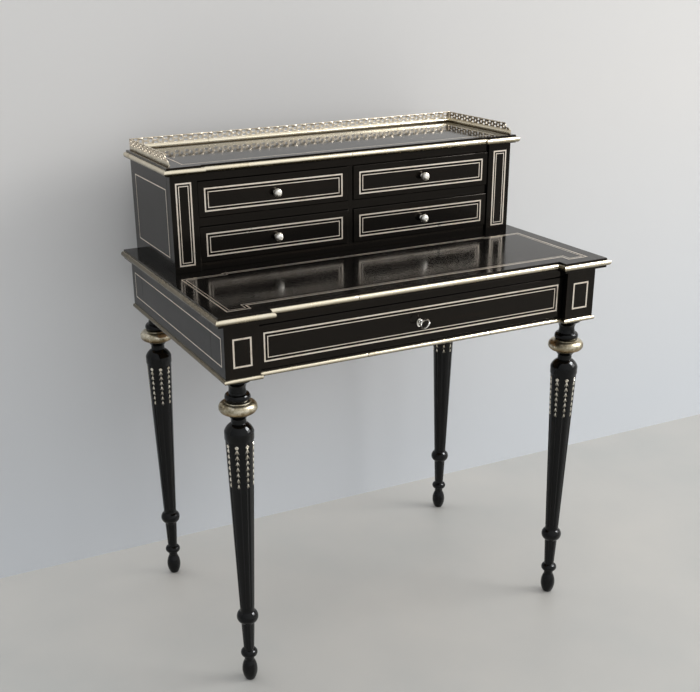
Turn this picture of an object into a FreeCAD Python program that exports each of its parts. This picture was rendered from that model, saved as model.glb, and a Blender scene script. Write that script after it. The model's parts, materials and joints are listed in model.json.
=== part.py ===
"""Ebonised lady's writing desk (bonheur du jour) with brass stringing, mouldings and gallery.

Millimetres. +X is the sitter's right, +Y is the back, +Z is up. The origin is on the floor,
under the middle of the table top. Every sub-part is written to parts/NODE.step.
"""
import math
import os

import FreeCAD
import Part

V = FreeCAD.Vector

# ---- table frame -------------------------------------------------------------------------
BODY_LENGTH = 760.0        # over the corner blocks, along X
BODY_DEPTH = 511.5         # block faces to the back, along Y
OVERHANG = 20.0            # tip of the top moulding beyond the blocks
STEP_OVERHANG = 23.5       # the same tip, beside the blocks' inner faces
TABLE_HEIGHT = 740.0       # writing surface above the floor
TOP_THICKNESS = 18.0
APRON_HEIGHT = 104.5       # corner blocks, ends and back board
CORNER_SIZE = 64.0         # square corner blocks
FRAME_STEP = 12.0          # drawer and rails stand this far behind the block faces
TOP_STEP = 20.5            # middle of the top's front edge, behind its ends
APRON_THICKNESS = 20.0
RAIL_DEPTH = 45.0
LOWER_RAIL_HEIGHT = 10.9
UPPER_RAIL_HEIGHT = 13.0
RUNNER_WIDTH = 64.0
GUIDE_THICKNESS = 12.0
GUIDE_HEIGHT = 21.0
KICKER_WIDTH = 24.0

# ---- cabinet on the table ----------------------------------------------------------------
CABINET_END_INSET = 14.5   # cabinet ends stand in from the ends of the frame
CABINET_DEPTH = 237.5
CABINET_HEIGHT = 195.5     # writing surface to the cabinet's own top surface
CABINET_OVERHANG = 13.5
CABINET_TOP_THICKNESS = 15.5
CABINET_SIDE = 14.0
CABINET_BACK = 8.0
PILASTER_WIDTH = 51.5
PILASTER_THICKNESS = 18.0
PILASTER_STEP = 5.5        # cabinet rails stand this far behind the pilasters
CABINET_FLOOR = 15.0
SHELF_THICKNESS = 16.5
DUST_BOARD = 8.0
DIVIDER_THICKNESS = 10.0
OPENING_HEIGHT = 67.0      # clear height of each small drawer's opening
CABINET_RAIL_DEPTH = 45.0
CABINET_GUIDE = 12.0

# ---- drawers -----------------------------------------------------------------------------
SLIDE_PLAY = 0.3           # under a drawer, on its runner
SIDE_PLAY = 0.8            # at each end of a drawer front
TOP_PLAY = 1.8             # shadow gap over the long drawer
SMALL_TOP_PLAY = 0.9       # gap over a small drawer
SMALL_DRAWER_PROUD = 3.0   # shut, a small drawer stands this far in front of the rails
FRONT_THICKNESS = 20.0
LONG_SIDE = 12.0
LONG_BOX_DEPTH = 400.0
LONG_BOX_LOWER = 7.0       # drawer sides stand this much lower than the front
SMALL_FRONT_THICKNESS = 16.0
SMALL_SIDE = 8.0
SMALL_BOX_DEPTH = 200.0
SMALL_BOX_LOWER = 6.0
SMALL_BOX_INSET = 1.0
DRAWER_BOTTOM = 5.0
BOTTOM_GROOVE = 4.0        # the bottom board enters the sides and front by this much
BOTTOM_RAISE = 6.0         # underside of the bottom board above the drawer's lower edge
BOX_INSET = 2.4            # drawer sides stand in from the ends of the drawer front
FRONT_CHAMFER = 0.8

# ---- brass -------------------------------------------------------------------------------
MOULDING_HALF = 5.0        # brass nosing of the table top: half its height
MOULDING_BULGE = 6.0
MOULDING_LIP = 3.6         # black edge left above the nosing
CABINET_MOULDING_HALF = 5.2
CABINET_MOULDING_BULGE = 6.2
CABINET_MOULDING_LIP = 3.5
BEAD_HEIGHT = 8.0          # brass bead at the foot of the frame
BEAD_BULGE = 4.0
INLAY_DEPTH = 1.2
INLAY_PROUD = 0.1
WIDE_LINE = 2.7
FINE_LINE = 1.5
BLOCK_LINE = 3.0
SIDE_LINE = 2.2
LINE_SPACING = 6.8         # outer edge of the wide line to outer edge of the fine line
PILASTER_LINE_SPACING = 5.6

# ---- stringing margins, from the edges of the face that carries it -----------------------
BLOCK_MARGIN_X = 14.8
FRAME_MARGIN_TOP = 26.5
FRAME_MARGIN_BOTTOM = 26.3
LONG_DRAWER_MARGIN_X = 11.0
LONG_DRAWER_MARGIN_Z = 12.8
SMALL_DRAWER_MARGIN_X = 12.4
SMALL_DRAWER_MARGIN_TOP = 12.0
SMALL_DRAWER_MARGIN_BOTTOM = 10.0
SIDE_MARGIN_FRONT = 15.0
SIDE_MARGIN_BACK = 19.0
PILASTER_MARGIN_OUTER = 9.5
PILASTER_MARGIN_INNER = 11.3
PILASTER_MARGIN_TOP = 14.0
PILASTER_MARGIN_BOTTOM = 13.0
CABINET_SIDE_MARGIN_Y = 26.0
CABINET_SIDE_MARGIN_TOP = 27.0
CABINET_SIDE_MARGIN_BOTTOM = 25.5
TOP_MARGIN = 25.5          # table-top stringing, in from the panel's edge
TOP_MARGIN_CABINET = 37.0  # the same stringing, in front of the cabinet
CABINET_TOP_MARGIN_FRONT = 18.8
CABINET_TOP_MARGIN_ENDS = 37.8
CABINET_TOP_MARGIN_BACK = 30.0

# ---- turned legs: radii, with heights above the floor ------------------------------------
FOOT_RADIUS = 6.5
BULB_RADIUS = 13.4
BULB_HEIGHT = 22.0
FOOT_NECK_RADIUS = 9.0
FOOT_NECK_HEIGHT = 45.0
ANKLE_RING_RADIUS = 16.0
ANKLE_RING_HEIGHT = 59.0
ANKLE_RING_HALF = 8.0
SHIN_RADIUS_LOW = 9.9
SHIN_RADIUS_HIGH = 12.4
COLLAR_RADIUS = 19.4
COLLAR_LOW = 121.0
COLLAR_BAND_LOW = 134.0
COLLAR_BAND_HIGH = 147.0
COLLAR_HIGH = 157.0
TAPER_RADIUS_LOW = 13.5

# ---- upper part of the legs: radii, with drops below the corner blocks -------------------
TAPER_RADIUS_HIGH = 25.3
TAPER_DROP = 114.5
SHOULDER_RADIUS = 26.5
SHOULDER_DROP = 102.5
SHOULDER_FULLNESS = 0.32   # 0 is a straight cone over the shoulder, larger is rounder
THROAT_RADIUS = 13.6
THROAT_LOW_DROP = 84.5
THROAT_HIGH_DROP = 76.5
RING_SEAT_RADIUS = 20.0
RING_DROP = 55.5
RING_RADIUS = 34.0
RING_HALF = 12.0
RING_PLAY = 0.1
RING_LIP = 2.0             # flat rim of the ring round its bore
SEAT_MARGIN = 0.5          # the seat is longer than the ring at each end
TORUS_RADIUS = 22.9
TORUS_DROP = 36.5
TORUS_HALF = 6.0
COVE_RADIUS = 15.6
COVE_DROP = 25.5
COVE_HOLLOW = 4.5          # how far the flare under the cap is hollowed
CAP_RADIUS = 25.5
CAP_THICKNESS = 6.0
SPIGOT_RADIUS = 14.0
SPIGOT_LENGTH = 42.0
SPIGOT_PLAY = 0.15
SPIGOT_HOLE_DEPTH = 44.0
BACK_LEG_INSET = 2.0       # back legs stand forward of their posts' middles, clear of a wall
LEG_TURN = {"front_left": 34.0, "front_right": 20.0, "back_left": 12.0, "back_right": 27.0}

# ---- flutes of the legs and the brass husks in them --------------------------------------
FLUTES = 8
FLUTE_WIDTH_HIGH = 9.4
FLUTE_WIDTH_LOW = 5.0
FLUTE_DEPTH_HIGH = 2.0
FLUTE_DEPTH_LOW = 1.2
FLUTE_END_HIGH = 8.0       # plain wood above the flutes, to the middle of their round ends
FLUTE_END_LOW = 7.0
SHIN_FLUTE_WIDTH_HIGH = 5.0
SHIN_FLUTE_WIDTH_LOW = 3.6
SHIN_FLUTE_DEPTH = 0.6
SHIN_FLUTE_END = 4.0
HUSKS = 7
HUSK_TOP_GAP = 0.5         # flute end's middle to the top of the first husk
HUSK_CHAIN = 84.0
HUSK_WIDTH_TOP = 7.3
HUSK_WIDTH_BOTTOM = 3.4
HUSK_NECK_SHARE = 0.42     # neck between two husks, as a share of the husk's width
HUSK_WIDEST = 0.62         # widest place, as a share of the husk's length from its top
HUSK_PROUD = 0.3
HUSK_SUNK_HIGH = 0.8       # back of the husks below the leg's face, at the top of a chain
HUSK_SUNK_LOW = 1.45       # and at its foot

# ---- gallery -----------------------------------------------------------------------------
GALLERY_HEIGHT = 21.5
GALLERY_THICKNESS = 1.6
GALLERY_INSET = 7.3        # outer face of the side strips, in from the cabinet top's edge
GALLERY_BACK_INSET = 3.5   # outer face of the back strip, in from the back
GALLERY_FRONT_INSET = 1.5  # front ends of the side strips, behind the pilasters' faces
GALLERY_FOOT = 4.5         # height of the thickened foot
GALLERY_FOOT_THICKNESS = 3.2
GALLERY_BASE = 8.3         # plain metal under the piercings
GALLERY_RAIL = 1.3         # and over them
GALLERY_PITCH = 20.8
GALLERY_ROUND_RADIUS = 3.0
GALLERY_PAIR_WIDTH = 8.3
GALLERY_PAIR_HEIGHT = 4.3
GALLERY_PAIR_LIP = 0.3     # a flat piercing's clear distance from the plain metal
GALLERY_SIDE_FIRST = 8.5   # first pair of a side strip, from its back end
GALLERY_SIDE_PLAIN = 25.0  # length at its front end that carries no pair
GALLERY_TOE = 2.2          # lower scroll, back from the front end
GALLERY_SCROLL_STEP = 17.0 # upper scroll, back from the front end
GALLERY_END_HOLE_RADIUS = 2.0
GALLERY_END_HOLE_BACK = 14.3
GALLERY_END_HOLE_HEIGHT = 9.0

# ---- lock, key and knobs -----------------------------------------------------------------
LOCK_X = 0.0               # middle of the lock
KEYHOLE_RADIUS = 3.3
KEYHOLE_SLOT = 3.0
KEYHOLE_DROP = 8.6
LOCK_WIDTH = 50.0
LOCK_DEPTH = 11.0
LOCK_BELOW_KEY = 16.0
LOCK_WALL = 1.5
SELVEDGE_LENGTH = 64.0
SELVEDGE_THICKNESS = 2.0
SELVEDGE_DEPTH = 13.0
BOLT_WIDTH = 22.0
BOLT_THICKNESS = 5.0
BOLT_PLAY = 0.3
BOLT_SUNK = 0.63           # top of the bolt below the selvedge's face at rest
BOLT_TAIL = 9.6            # underside of the bolt above the key's axis
MORTISE_DEPTH = 7.5
MORTISE_PLAY = 1.0
SHANK_RADIUS = 3.0
BIT_RADIUS = 7.5
BIT_THICKNESS = 2.0
BIT_WIDTH = 5.0
KEY_TURN = 40.0            # degrees from upright at rest
BOW_HALF_LENGTH = 12.5
BOW_HALF_WIDTH = 10.3
BOW_RIM = 3.2
BOW_THICKNESS = 2.8
BOW_REACH = 31.6           # outer end of the bow in front of the drawer's face
COLLAR_KEY_RADIUS = 4.6
COLLAR_KEY_LENGTH = 2.6
ESCUTCHEON_HALF_WIDTH = 5.4
ESCUTCHEON_HALF_HEIGHT = 7.6
ESCUTCHEON_DROP = 3.0
ESCUTCHEON_THICKNESS = 1.2
ESCUTCHEON_PROUD = 0.5
KNOB_RADIUS = 8.0
KNOB_REACH = 18.5
KNOB_FLAT = 1.2
KNOB_NECK_RADIUS = 3.0
KNOB_BASE_RADIUS = 4.2
KNOB_BASE = 1.6
KNOB_STUD_RADIUS = 2.0
KNOB_STUD_LENGTH = 12.0
KNOB_STUD_PLAY = 0.1

# ---- places worked out from the sizes above ----------------------------------------------
BACK = (BODY_DEPTH + OVERHANG) / 2
BLOCK_FACE = BACK - BODY_DEPTH
FRONT = BLOCK_FACE + FRAME_STEP
HALF = BODY_LENGTH / 2
BLOCK_INNER = HALF - CORNER_SIZE
TOP_UNDER = TABLE_HEIGHT - TOP_THICKNESS
LEG_HEIGHT = TOP_UNDER - APRON_HEIGHT
RUNNER_TOP = LEG_HEIGHT + LOWER_RAIL_HEIGHT + 0.3
UPPER_RAIL_UNDER = TOP_UNDER - UPPER_RAIL_HEIGHT
PANEL_OVERHANG = OVERHANG - MOULDING_BULGE
TOP_STEP_X = BLOCK_INNER - STEP_OVERHANG + MOULDING_BULGE
CABINET_HALF = HALF - CABINET_END_INSET
CABINET_FACE = BACK - CABINET_DEPTH
CABINET_RAIL_FACE = CABINET_FACE + PILASTER_STEP
SMALL_FACE = CABINET_RAIL_FACE - SMALL_DRAWER_PROUD
PILASTER_BACK = CABINET_FACE + PILASTER_THICKNESS
PILASTER_INNER = CABINET_HALF - PILASTER_WIDTH
CABINET_INNER = CABINET_HALF - CABINET_SIDE
CABINET_TOP = TABLE_HEIGHT + CABINET_HEIGHT
CABINET_TOP_UNDER = CABINET_TOP - CABINET_TOP_THICKNESS
BACK_BOARD = BACK - CABINET_BACK
LOWER_OPENING = TABLE_HEIGHT + CABINET_FLOOR
UPPER_OPENING = LOWER_OPENING + OPENING_HEIGHT + SHELF_THICKNESS
UPPER_OPENING_TOP = UPPER_OPENING + OPENING_HEIGHT
CABINET_PANEL_OVERHANG = CABINET_OVERHANG - CABINET_MOULDING_BULGE
BLOCK_MIDDLE = HALF - CORNER_SIZE / 2
LEG_X = BLOCK_MIDDLE
LEG_Y_FRONT = BLOCK_FACE + CORNER_SIZE / 2
LEG_Y_BACK = BACK - CORNER_SIZE / 2 - BACK_LEG_INSET
LONG_BOTTOM = RUNNER_TOP + SLIDE_PLAY
LONG_TOP = UPPER_RAIL_UNDER - TOP_PLAY
LONG_HALF = BLOCK_INNER - SIDE_PLAY
KEY_Z = (LONG_BOTTOM + LONG_TOP) / 2
SMALL_INNER = DIVIDER_THICKNESS / 2 + SIDE_PLAY
SMALL_OUTER = PILASTER_INNER - SIDE_PLAY
LEG_PLACES = {
    "front_left": (-LEG_X, LEG_Y_FRONT),
    "front_right": (LEG_X, LEG_Y_FRONT),
    "back_left": (-LEG_X, LEG_Y_BACK),
    "back_right": (LEG_X, LEG_Y_BACK),
}
POST_PLACES = {
    "front_left": (-BLOCK_MIDDLE, BLOCK_FACE + CORNER_SIZE / 2),
    "front_right": (BLOCK_MIDDLE, BLOCK_FACE + CORNER_SIZE / 2),
    "back_left": (-BLOCK_MIDDLE, BACK - CORNER_SIZE / 2),
    "back_right": (BLOCK_MIDDLE, BACK - CORNER_SIZE / 2),
}


# ---- helpers -----------------------------------------------------------------------------
def box(x0, x1, y0, y1, z0, z1):
    """Box between two corners."""
    return Part.makeBox(x1 - x0, y1 - y0, z1 - z0, V(x0, y0, z0))


def mirrored(shape):
    """The same shape on the other side of the desk."""
    return shape.mirror(V(0, 0, 0), V(1, 0, 0))


def prism(points, z0, z1):
    """Straight-sided block over a plan outline."""
    corners = [V(x, y, z0) for x, y in points]
    face = Part.Face(Part.makePolygon(corners + corners[:1]))
    return face.extrude(V(0, 0, z1 - z0))


def ellipse_prism(half_u, half_w, y0, y1, x, z):
    """Elliptical block along Y, half_u wide in X and half_w high in Z."""
    major = max(half_u, half_w)
    minor = min(half_u, half_w)
    long_axis = V(1, 0, 0) if half_u >= half_w else V(0, 0, 1)
    curve = Part.Ellipse(V(x, y0, z) + long_axis * major,
                         V(x, y0, z) + V(long_axis.z, 0, long_axis.x) * minor, V(x, y0, z))
    return Part.Face(Part.Wire(curve.toShape())).extrude(V(0, y1 - y0, 0))


def save(name, *solids):
    """Write one sub-part, as one solid or as a group of separate ones."""
    flat = [solid for shape in solids for solid in shape.Solids]
    shape = flat[0] if len(flat) == 1 else Part.Compound(flat)
    shape.exportStep(os.path.join("parts", name + ".step"))


def front_line(x0, x1, z0, z1, face, line):
    """Rectangle of brass stringing in a face that looks to the front."""
    outer = box(x0, x1, face - INLAY_PROUD, face + INLAY_DEPTH, z0, z1)
    inner = box(x0 + line, x1 - line, face - 1, face + INLAY_DEPTH + 1, z0 + line, z1 - line)
    return outer.cut(inner)


def end_line(y0, y1, z0, z1, face, line):
    """Rectangle of brass stringing in the left end, whose face is at x = -face."""
    outer = box(-face - INLAY_PROUD, -face + INLAY_DEPTH, y0, y1, z0, z1)
    inner = box(-face - 1, -face + INLAY_DEPTH + 1, y0 + line, y1 - line, z0 + line, z1 - line)
    return outer.cut(inner)


def double_front_line(x0, x1, z0, z1, face, spacing):
    """A wide line with a fine one inside it."""
    fine = front_line(x0 + spacing, x1 - spacing, z0 + spacing, z1 - spacing, face, FINE_LINE)
    return [front_line(x0, x1, z0, z1, face, WIDE_LINE), fine]


def stepped_plan(half, front, step, step_x, back, back_step=0.0, back_step_x=0.0, inset=0.0):
    """Breakfront outline: the ends stand forward of the middle, at the front and, where
    back_step is given, at the back."""
    ends = half - inset
    fore = front + inset
    right = [(step_x + inset, fore + step), (step_x + inset, fore), (ends, fore)]
    rear = back - inset
    right.append((ends, rear))
    if back_step:
        right += [(back_step_x - inset, rear), (back_step_x - inset, rear + back_step)]
    left = [(-x, y) for x, y in reversed(right)]
    return right + left


def top_line(plan, inset, line, top):
    """Closed line of stringing let into a horizontal surface, from a plan outline function."""
    outer = prism(plan(inset), top - INLAY_DEPTH, top + INLAY_PROUD)
    inner = prism(plan(inset + line), top - INLAY_DEPTH - 1, top + 1)
    return outer.cut(inner)


def open_path(half, front, step, step_x, back, z):
    """Front and ends of a breakfront outline, open at the back."""
    right = [(step_x, front + step), (step_x, front), (half, front), (half, back)]
    left = [(-x, y) for x, y in reversed(right)]
    return Part.makePolygon([V(x, y, z) for x, y in left + right])


def swept_moulding(path, half, back, z, half_height, bulge):
    """Brass moulding of round section mitred round an open path that starts at the back left."""
    low = V(-half, back, z - half_height)
    high = V(-half, back, z + half_height)
    outer = Part.Arc(low, V(-half - bulge, back, z), high).toShape()
    profile = Part.Wire([outer, Part.makeLine(high, low)])
    pipe = Part.BRepOffsetAPI.MakePipeShell(path)
    pipe.setTransitionMode(1)
    pipe.add(profile)
    pipe.build()
    pipe.makeSolid()
    return pipe.shape()


def turned(segments, axis_x=0.0, axis_y=0.0):
    """Solid of revolution about a vertical axis, from lines and arcs of (radius, height)."""
    start = segments[0]
    here = V(start[0], 0, start[1])
    edges = [Part.makeLine(V(0, 0, start[1]), here)]
    for segment in segments[1:]:
        end = V(segment[-2], 0, segment[-1])
        if len(segment) == 4:
            edges.append(Part.Arc(here, V(segment[0], 0, segment[1]), end).toShape())
        else:
            edges.append(Part.makeLine(here, end))
        here = end
    edges.append(Part.makeLine(here, V(0, 0, here.z)))
    edges.append(Part.makeLine(V(0, 0, here.z), V(0, 0, start[1])))
    solid = Part.Face(Part.Wire(edges)).revolve(V(0, 0, 0), V(0, 0, 1), 360)
    solid.translate(V(axis_x, axis_y, 0))
    return solid


# ---- legs --------------------------------------------------------------------------------
def bowed(low, high, bow):
    """Middle point of an arc between two profile points, bowed to the right of the way up."""
    run = (high[0] - low[0], high[1] - low[1])
    length = math.hypot(*run)
    return ((low[0] + high[0]) / 2 + bow * run[1] / length,
            (low[1] + high[1]) / 2 - bow * run[0] / length)


def leg_profile():
    """Turning of one leg from the floor up."""
    ankle_low = ANKLE_RING_HEIGHT - ANKLE_RING_HALF
    ankle_high = ANKLE_RING_HEIGHT + ANKLE_RING_HALF
    taper_high = LEG_HEIGHT - TAPER_DROP
    shoulder = (SHOULDER_RADIUS, LEG_HEIGHT - SHOULDER_DROP)
    throat = (THROAT_RADIUS, LEG_HEIGHT - THROAT_LOW_DROP)
    seat_low = LEG_HEIGHT - RING_DROP - RING_HALF - SEAT_MARGIN
    seat_high = LEG_HEIGHT - RING_DROP + RING_HALF + SEAT_MARGIN
    torus = LEG_HEIGHT - TORUS_DROP
    cove = (COVE_RADIUS, LEG_HEIGHT - COVE_DROP)
    cap = (CAP_RADIUS, LEG_HEIGHT - CAP_THICKNESS)
    return [
        (FOOT_RADIUS, 0.0),
        (BULB_RADIUS, BULB_HEIGHT, FOOT_NECK_RADIUS, FOOT_NECK_HEIGHT),
        (SHIN_RADIUS_LOW, ankle_low),
        (ANKLE_RING_RADIUS, ANKLE_RING_HEIGHT, SHIN_RADIUS_LOW, ankle_high),
        (SHIN_RADIUS_HIGH, COLLAR_LOW),
        (COLLAR_RADIUS, COLLAR_BAND_LOW),
        (COLLAR_RADIUS, COLLAR_BAND_HIGH),
        (TAPER_RADIUS_LOW, COLLAR_HIGH),
        (TAPER_RADIUS_HIGH, taper_high),
        (SHOULDER_RADIUS, taper_high),
        shoulder,
        bowed(shoulder, throat, SHOULDER_FULLNESS * (throat[1] - shoulder[1])) + throat,
        (THROAT_RADIUS, LEG_HEIGHT - THROAT_HIGH_DROP),
        (RING_SEAT_RADIUS, seat_low),
        (RING_SEAT_RADIUS, seat_high),
        (TORUS_RADIUS, torus, RING_SEAT_RADIUS, torus + TORUS_HALF),
        (COVE_RADIUS, torus + TORUS_HALF),
        cove,
        bowed(cove, cap, COVE_HOLLOW) + cap,
        (CAP_RADIUS, LEG_HEIGHT),
        (SPIGOT_RADIUS, LEG_HEIGHT),
        (SPIGOT_RADIUS, LEG_HEIGHT + SPIGOT_LENGTH),
    ]


def flute_end(surface, z, width, depth):
    """Centre and radius of the round cutter that leaves a flute of this width and depth."""
    radius = (width * width / 4 + depth * depth) / (2 * depth)
    return V(surface + radius - depth, 0, z), radius


def flute_cutter(low, high):
    """Tapered round cutter along +X between two flute ends, rounded over at both of them."""
    (base, base_radius), (tip, tip_radius) = low, high
    along = tip - base
    cone = Part.makeCone(base_radius, tip_radius, along.Length, base, along)
    return cone.fuse([Part.makeSphere(base_radius, base), Part.makeSphere(tip_radius, tip)])


def main_flute():
    """Cutter for one flute of the long taper."""
    rise = (TAPER_RADIUS_HIGH - TAPER_RADIUS_LOW) / (LEG_HEIGHT - TAPER_DROP - COLLAR_HIGH)
    low = COLLAR_HIGH + FLUTE_END_LOW
    high = LEG_HEIGHT - TAPER_DROP - FLUTE_END_HIGH
    low_end = flute_end(TAPER_RADIUS_LOW + rise * FLUTE_END_LOW, low,
                        FLUTE_WIDTH_LOW, FLUTE_DEPTH_LOW)
    high_end = flute_end(TAPER_RADIUS_HIGH - rise * FLUTE_END_HIGH, high,
                         FLUTE_WIDTH_HIGH, FLUTE_DEPTH_HIGH)
    return flute_cutter(low_end, high_end)


def shin_flute():
    """Cutter for one shallow flute between the ankle ring and the collar."""
    ankle_high = ANKLE_RING_HEIGHT + ANKLE_RING_HALF
    low_end = flute_end(SHIN_RADIUS_LOW, ankle_high + SHIN_FLUTE_END,
                        SHIN_FLUTE_WIDTH_LOW, SHIN_FLUTE_DEPTH)
    high_end = flute_end(SHIN_RADIUS_HIGH, COLLAR_LOW - SHIN_FLUTE_END,
                         SHIN_FLUTE_WIDTH_HIGH, SHIN_FLUTE_DEPTH)
    return flute_cutter(low_end, high_end)


def husk_chain():
    """Chain of brass husks that lies in one flute, at +X, with a flat back."""
    top = LEG_HEIGHT - TAPER_DROP - FLUTE_END_HIGH - HUSK_TOP_GAP
    foot = top - HUSK_CHAIN
    rise = (TAPER_RADIUS_HIGH - TAPER_RADIUS_LOW) / (LEG_HEIGHT - TAPER_DROP - COLLAR_HIGH)
    wood_high = TAPER_RADIUS_HIGH - rise * (FLUTE_END_HIGH + HUSK_TOP_GAP)
    wood_low = wood_high - rise * HUSK_CHAIN
    right = []
    z = top
    step = HUSK_CHAIN / HUSKS
    for i in range(HUSKS):
        share = i / (HUSKS - 1)
        half = (HUSK_WIDTH_TOP + share * (HUSK_WIDTH_BOTTOM - HUSK_WIDTH_TOP)) / 2
        right += [(half * HUSK_NECK_SHARE, z), (half, z - HUSK_WIDEST * step)]
        z -= step
    right.append((HUSK_WIDTH_BOTTOM * HUSK_NECK_SHARE / 2, z))
    outline = right + [(-y, z) for y, z in reversed(right)]
    corners = [V(0, y, z) for y, z in outline]
    blank = Part.Face(Part.makePolygon(corners + corners[:1]))
    side = [
        V(wood_high - HUSK_SUNK_HIGH, -FLUTE_WIDTH_HIGH, top),
        V(wood_high + HUSK_PROUD, -FLUTE_WIDTH_HIGH, top),
        V(wood_low + HUSK_PROUD, -FLUTE_WIDTH_HIGH, foot),
        V(wood_low - HUSK_SUNK_LOW, -FLUTE_WIDTH_HIGH, foot),
    ]
    slab = Part.Face(Part.makePolygon(side + side[:1])).extrude(V(0, 2 * FLUTE_WIDTH_HIGH, 0))
    return blank.extrude(V(wood_high + HUSK_PROUD, 0, 0)).common(slab)


def repeated(shape):
    """Copies of a shape at every flute of a leg."""
    copies = []
    for i in range(FLUTES):
        copy = shape.copy()
        copy.rotate(V(0, 0, 0), V(0, 0, 1), 360.0 * i / FLUTES)
        copies.append(copy)
    return copies


def make_leg_ring():
    """Gilt ring round the top of a leg, on the Z axis."""
    bore = RING_SEAT_RADIUS + RING_PLAY
    middle = LEG_HEIGHT - RING_DROP
    low = middle - RING_HALF
    high = middle + RING_HALF
    rim = bore + RING_LIP
    bulge = Part.Arc(V(rim, 0, low), V(RING_RADIUS, 0, middle), V(rim, 0, high))
    edges = [
        Part.makeLine(V(bore, 0, high), V(bore, 0, low)),
        Part.makeLine(V(bore, 0, low), V(rim, 0, low)),
        bulge.toShape(),
        Part.makeLine(V(rim, 0, high), V(bore, 0, high)),
    ]
    return Part.Face(Part.Wire(edges)).revolve(V(0, 0, 0), V(0, 0, 1), 360)


def on_leg(shape, place):
    """A copy of a shape on the leg at one corner, turned as that leg is."""
    x, y = LEG_PLACES[place]
    copy = shape.copy()
    copy.rotate(V(0, 0, 0), V(0, 0, 1), -90 - LEG_TURN[place])
    copy.translate(V(x, y, 0))
    return copy


def build_legs():
    """Four legs, each screwed home at its own angle, their gilt rings and brass husks."""
    leg = turned(leg_profile()).cut(repeated(main_flute()) + repeated(shin_flute()))
    ring = make_leg_ring()
    husks = repeated(husk_chain())
    for place in LEG_PLACES:
        save("leg_" + place, on_leg(leg, place))
    save("leg_rings", *[on_leg(ring, place) for place in LEG_PLACES])
    save("leg_husks", *[on_leg(husk, place) for place in LEG_PLACES for husk in husks])


# ---- table frame -------------------------------------------------------------------------
def frame_lines():
    """Stringing of the two front blocks and the two ends of the frame."""
    z0 = LEG_HEIGHT + FRAME_MARGIN_BOTTOM
    z1 = TOP_UNDER - FRAME_MARGIN_TOP
    block = front_line(-HALF + BLOCK_MARGIN_X, -BLOCK_INNER - BLOCK_MARGIN_X, z0, z1,
                       BLOCK_FACE, BLOCK_LINE)
    end = end_line(BLOCK_FACE + SIDE_MARGIN_FRONT, BACK - SIDE_MARGIN_BACK, z0, z1, HALF, SIDE_LINE)
    left = [block, end]
    return left + [mirrored(line) for line in left]


def build_corner_posts(lines):
    """Square corner posts, bored from below for the legs' spigots."""
    half = CORNER_SIZE / 2
    for place, (x, y) in POST_PLACES.items():
        post = box(x - half, x + half, y - half, y + half, LEG_HEIGHT, TOP_UNDER)
        leg_x, leg_y = LEG_PLACES[place]
        bore = Part.makeCylinder(SPIGOT_RADIUS + SPIGOT_PLAY, SPIGOT_HOLE_DEPTH,
                                 V(leg_x, leg_y, LEG_HEIGHT))
        save("corner_post_" + place, post.cut([bore] + lines))


def build_aprons(lines):
    """End and back boards between the corner posts."""
    end = box(-HALF, -HALF + APRON_THICKNESS, BLOCK_FACE + CORNER_SIZE, BACK - CORNER_SIZE,
              LEG_HEIGHT, TOP_UNDER)
    save("apron_left", end.cut(lines))
    save("apron_right", mirrored(end).cut(lines))
    save("apron_back", box(-BLOCK_INNER, BLOCK_INNER, BACK - APRON_THICKNESS, BACK,
                           LEG_HEIGHT, TOP_UNDER))


def mortise():
    """Hole in the upper rail for the lock bolt."""
    half = BOLT_WIDTH / 2 + MORTISE_PLAY
    y0, y1 = bolt_depth()
    return box(LOCK_X - half, LOCK_X + half, y0 - MORTISE_PLAY, y1 + MORTISE_PLAY,
               UPPER_RAIL_UNDER, UPPER_RAIL_UNDER + MORTISE_DEPTH)


def build_rails():
    """Rails over and under the long drawer, and the runners and kickers behind them."""
    lower = box(-BLOCK_INNER, BLOCK_INNER, FRONT, FRONT + RAIL_DEPTH,
                LEG_HEIGHT, LEG_HEIGHT + LOWER_RAIL_HEIGHT)
    upper = box(-BLOCK_INNER, BLOCK_INNER, FRONT, FRONT + RAIL_DEPTH, UPPER_RAIL_UNDER, TOP_UNDER)
    save("front_rail_lower", lower)
    save("front_rail_upper", upper.cut(mortise()))
    outer = HALF - APRON_THICKNESS
    y0 = BLOCK_FACE + CORNER_SIZE
    y1 = BACK - CORNER_SIZE
    guide_face = LONG_HALF - BOX_INSET + SIDE_PLAY
    runner = box(-outer, -outer + RUNNER_WIDTH, y0, y1, LEG_HEIGHT, RUNNER_TOP)
    guide = box(-guide_face - GUIDE_THICKNESS, -guide_face, y0, y1,
                RUNNER_TOP, RUNNER_TOP + GUIDE_HEIGHT)
    side_top = LONG_TOP - LONG_BOX_LOWER
    kicker = box(-outer, -guide_face + KICKER_WIDTH, y0, y1, side_top + TOP_PLAY, TOP_UNDER)
    left = [runner, guide, kicker]
    save("drawer_runners", *(left + [mirrored(piece) for piece in left]))


def table_plan(inset=0.0):
    """Outline of the table-top panel."""
    edge = PANEL_OVERHANG
    return stepped_plan(HALF + edge, BLOCK_FACE - edge, TOP_STEP, TOP_STEP_X, BACK, inset=inset)


def table_line_plan(inset=0.0):
    """Outline of the table-top stringing: it runs in front of the cabinet and follows it."""
    edge = PANEL_OVERHANG - TOP_MARGIN
    cabinet_line = CABINET_FACE - TOP_MARGIN_CABINET
    return stepped_plan(HALF + edge, BLOCK_FACE - edge, TOP_STEP, TOP_STEP_X + TOP_MARGIN,
                        cabinet_line, PILASTER_STEP, PILASTER_INNER - TOP_MARGIN, inset)


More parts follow.
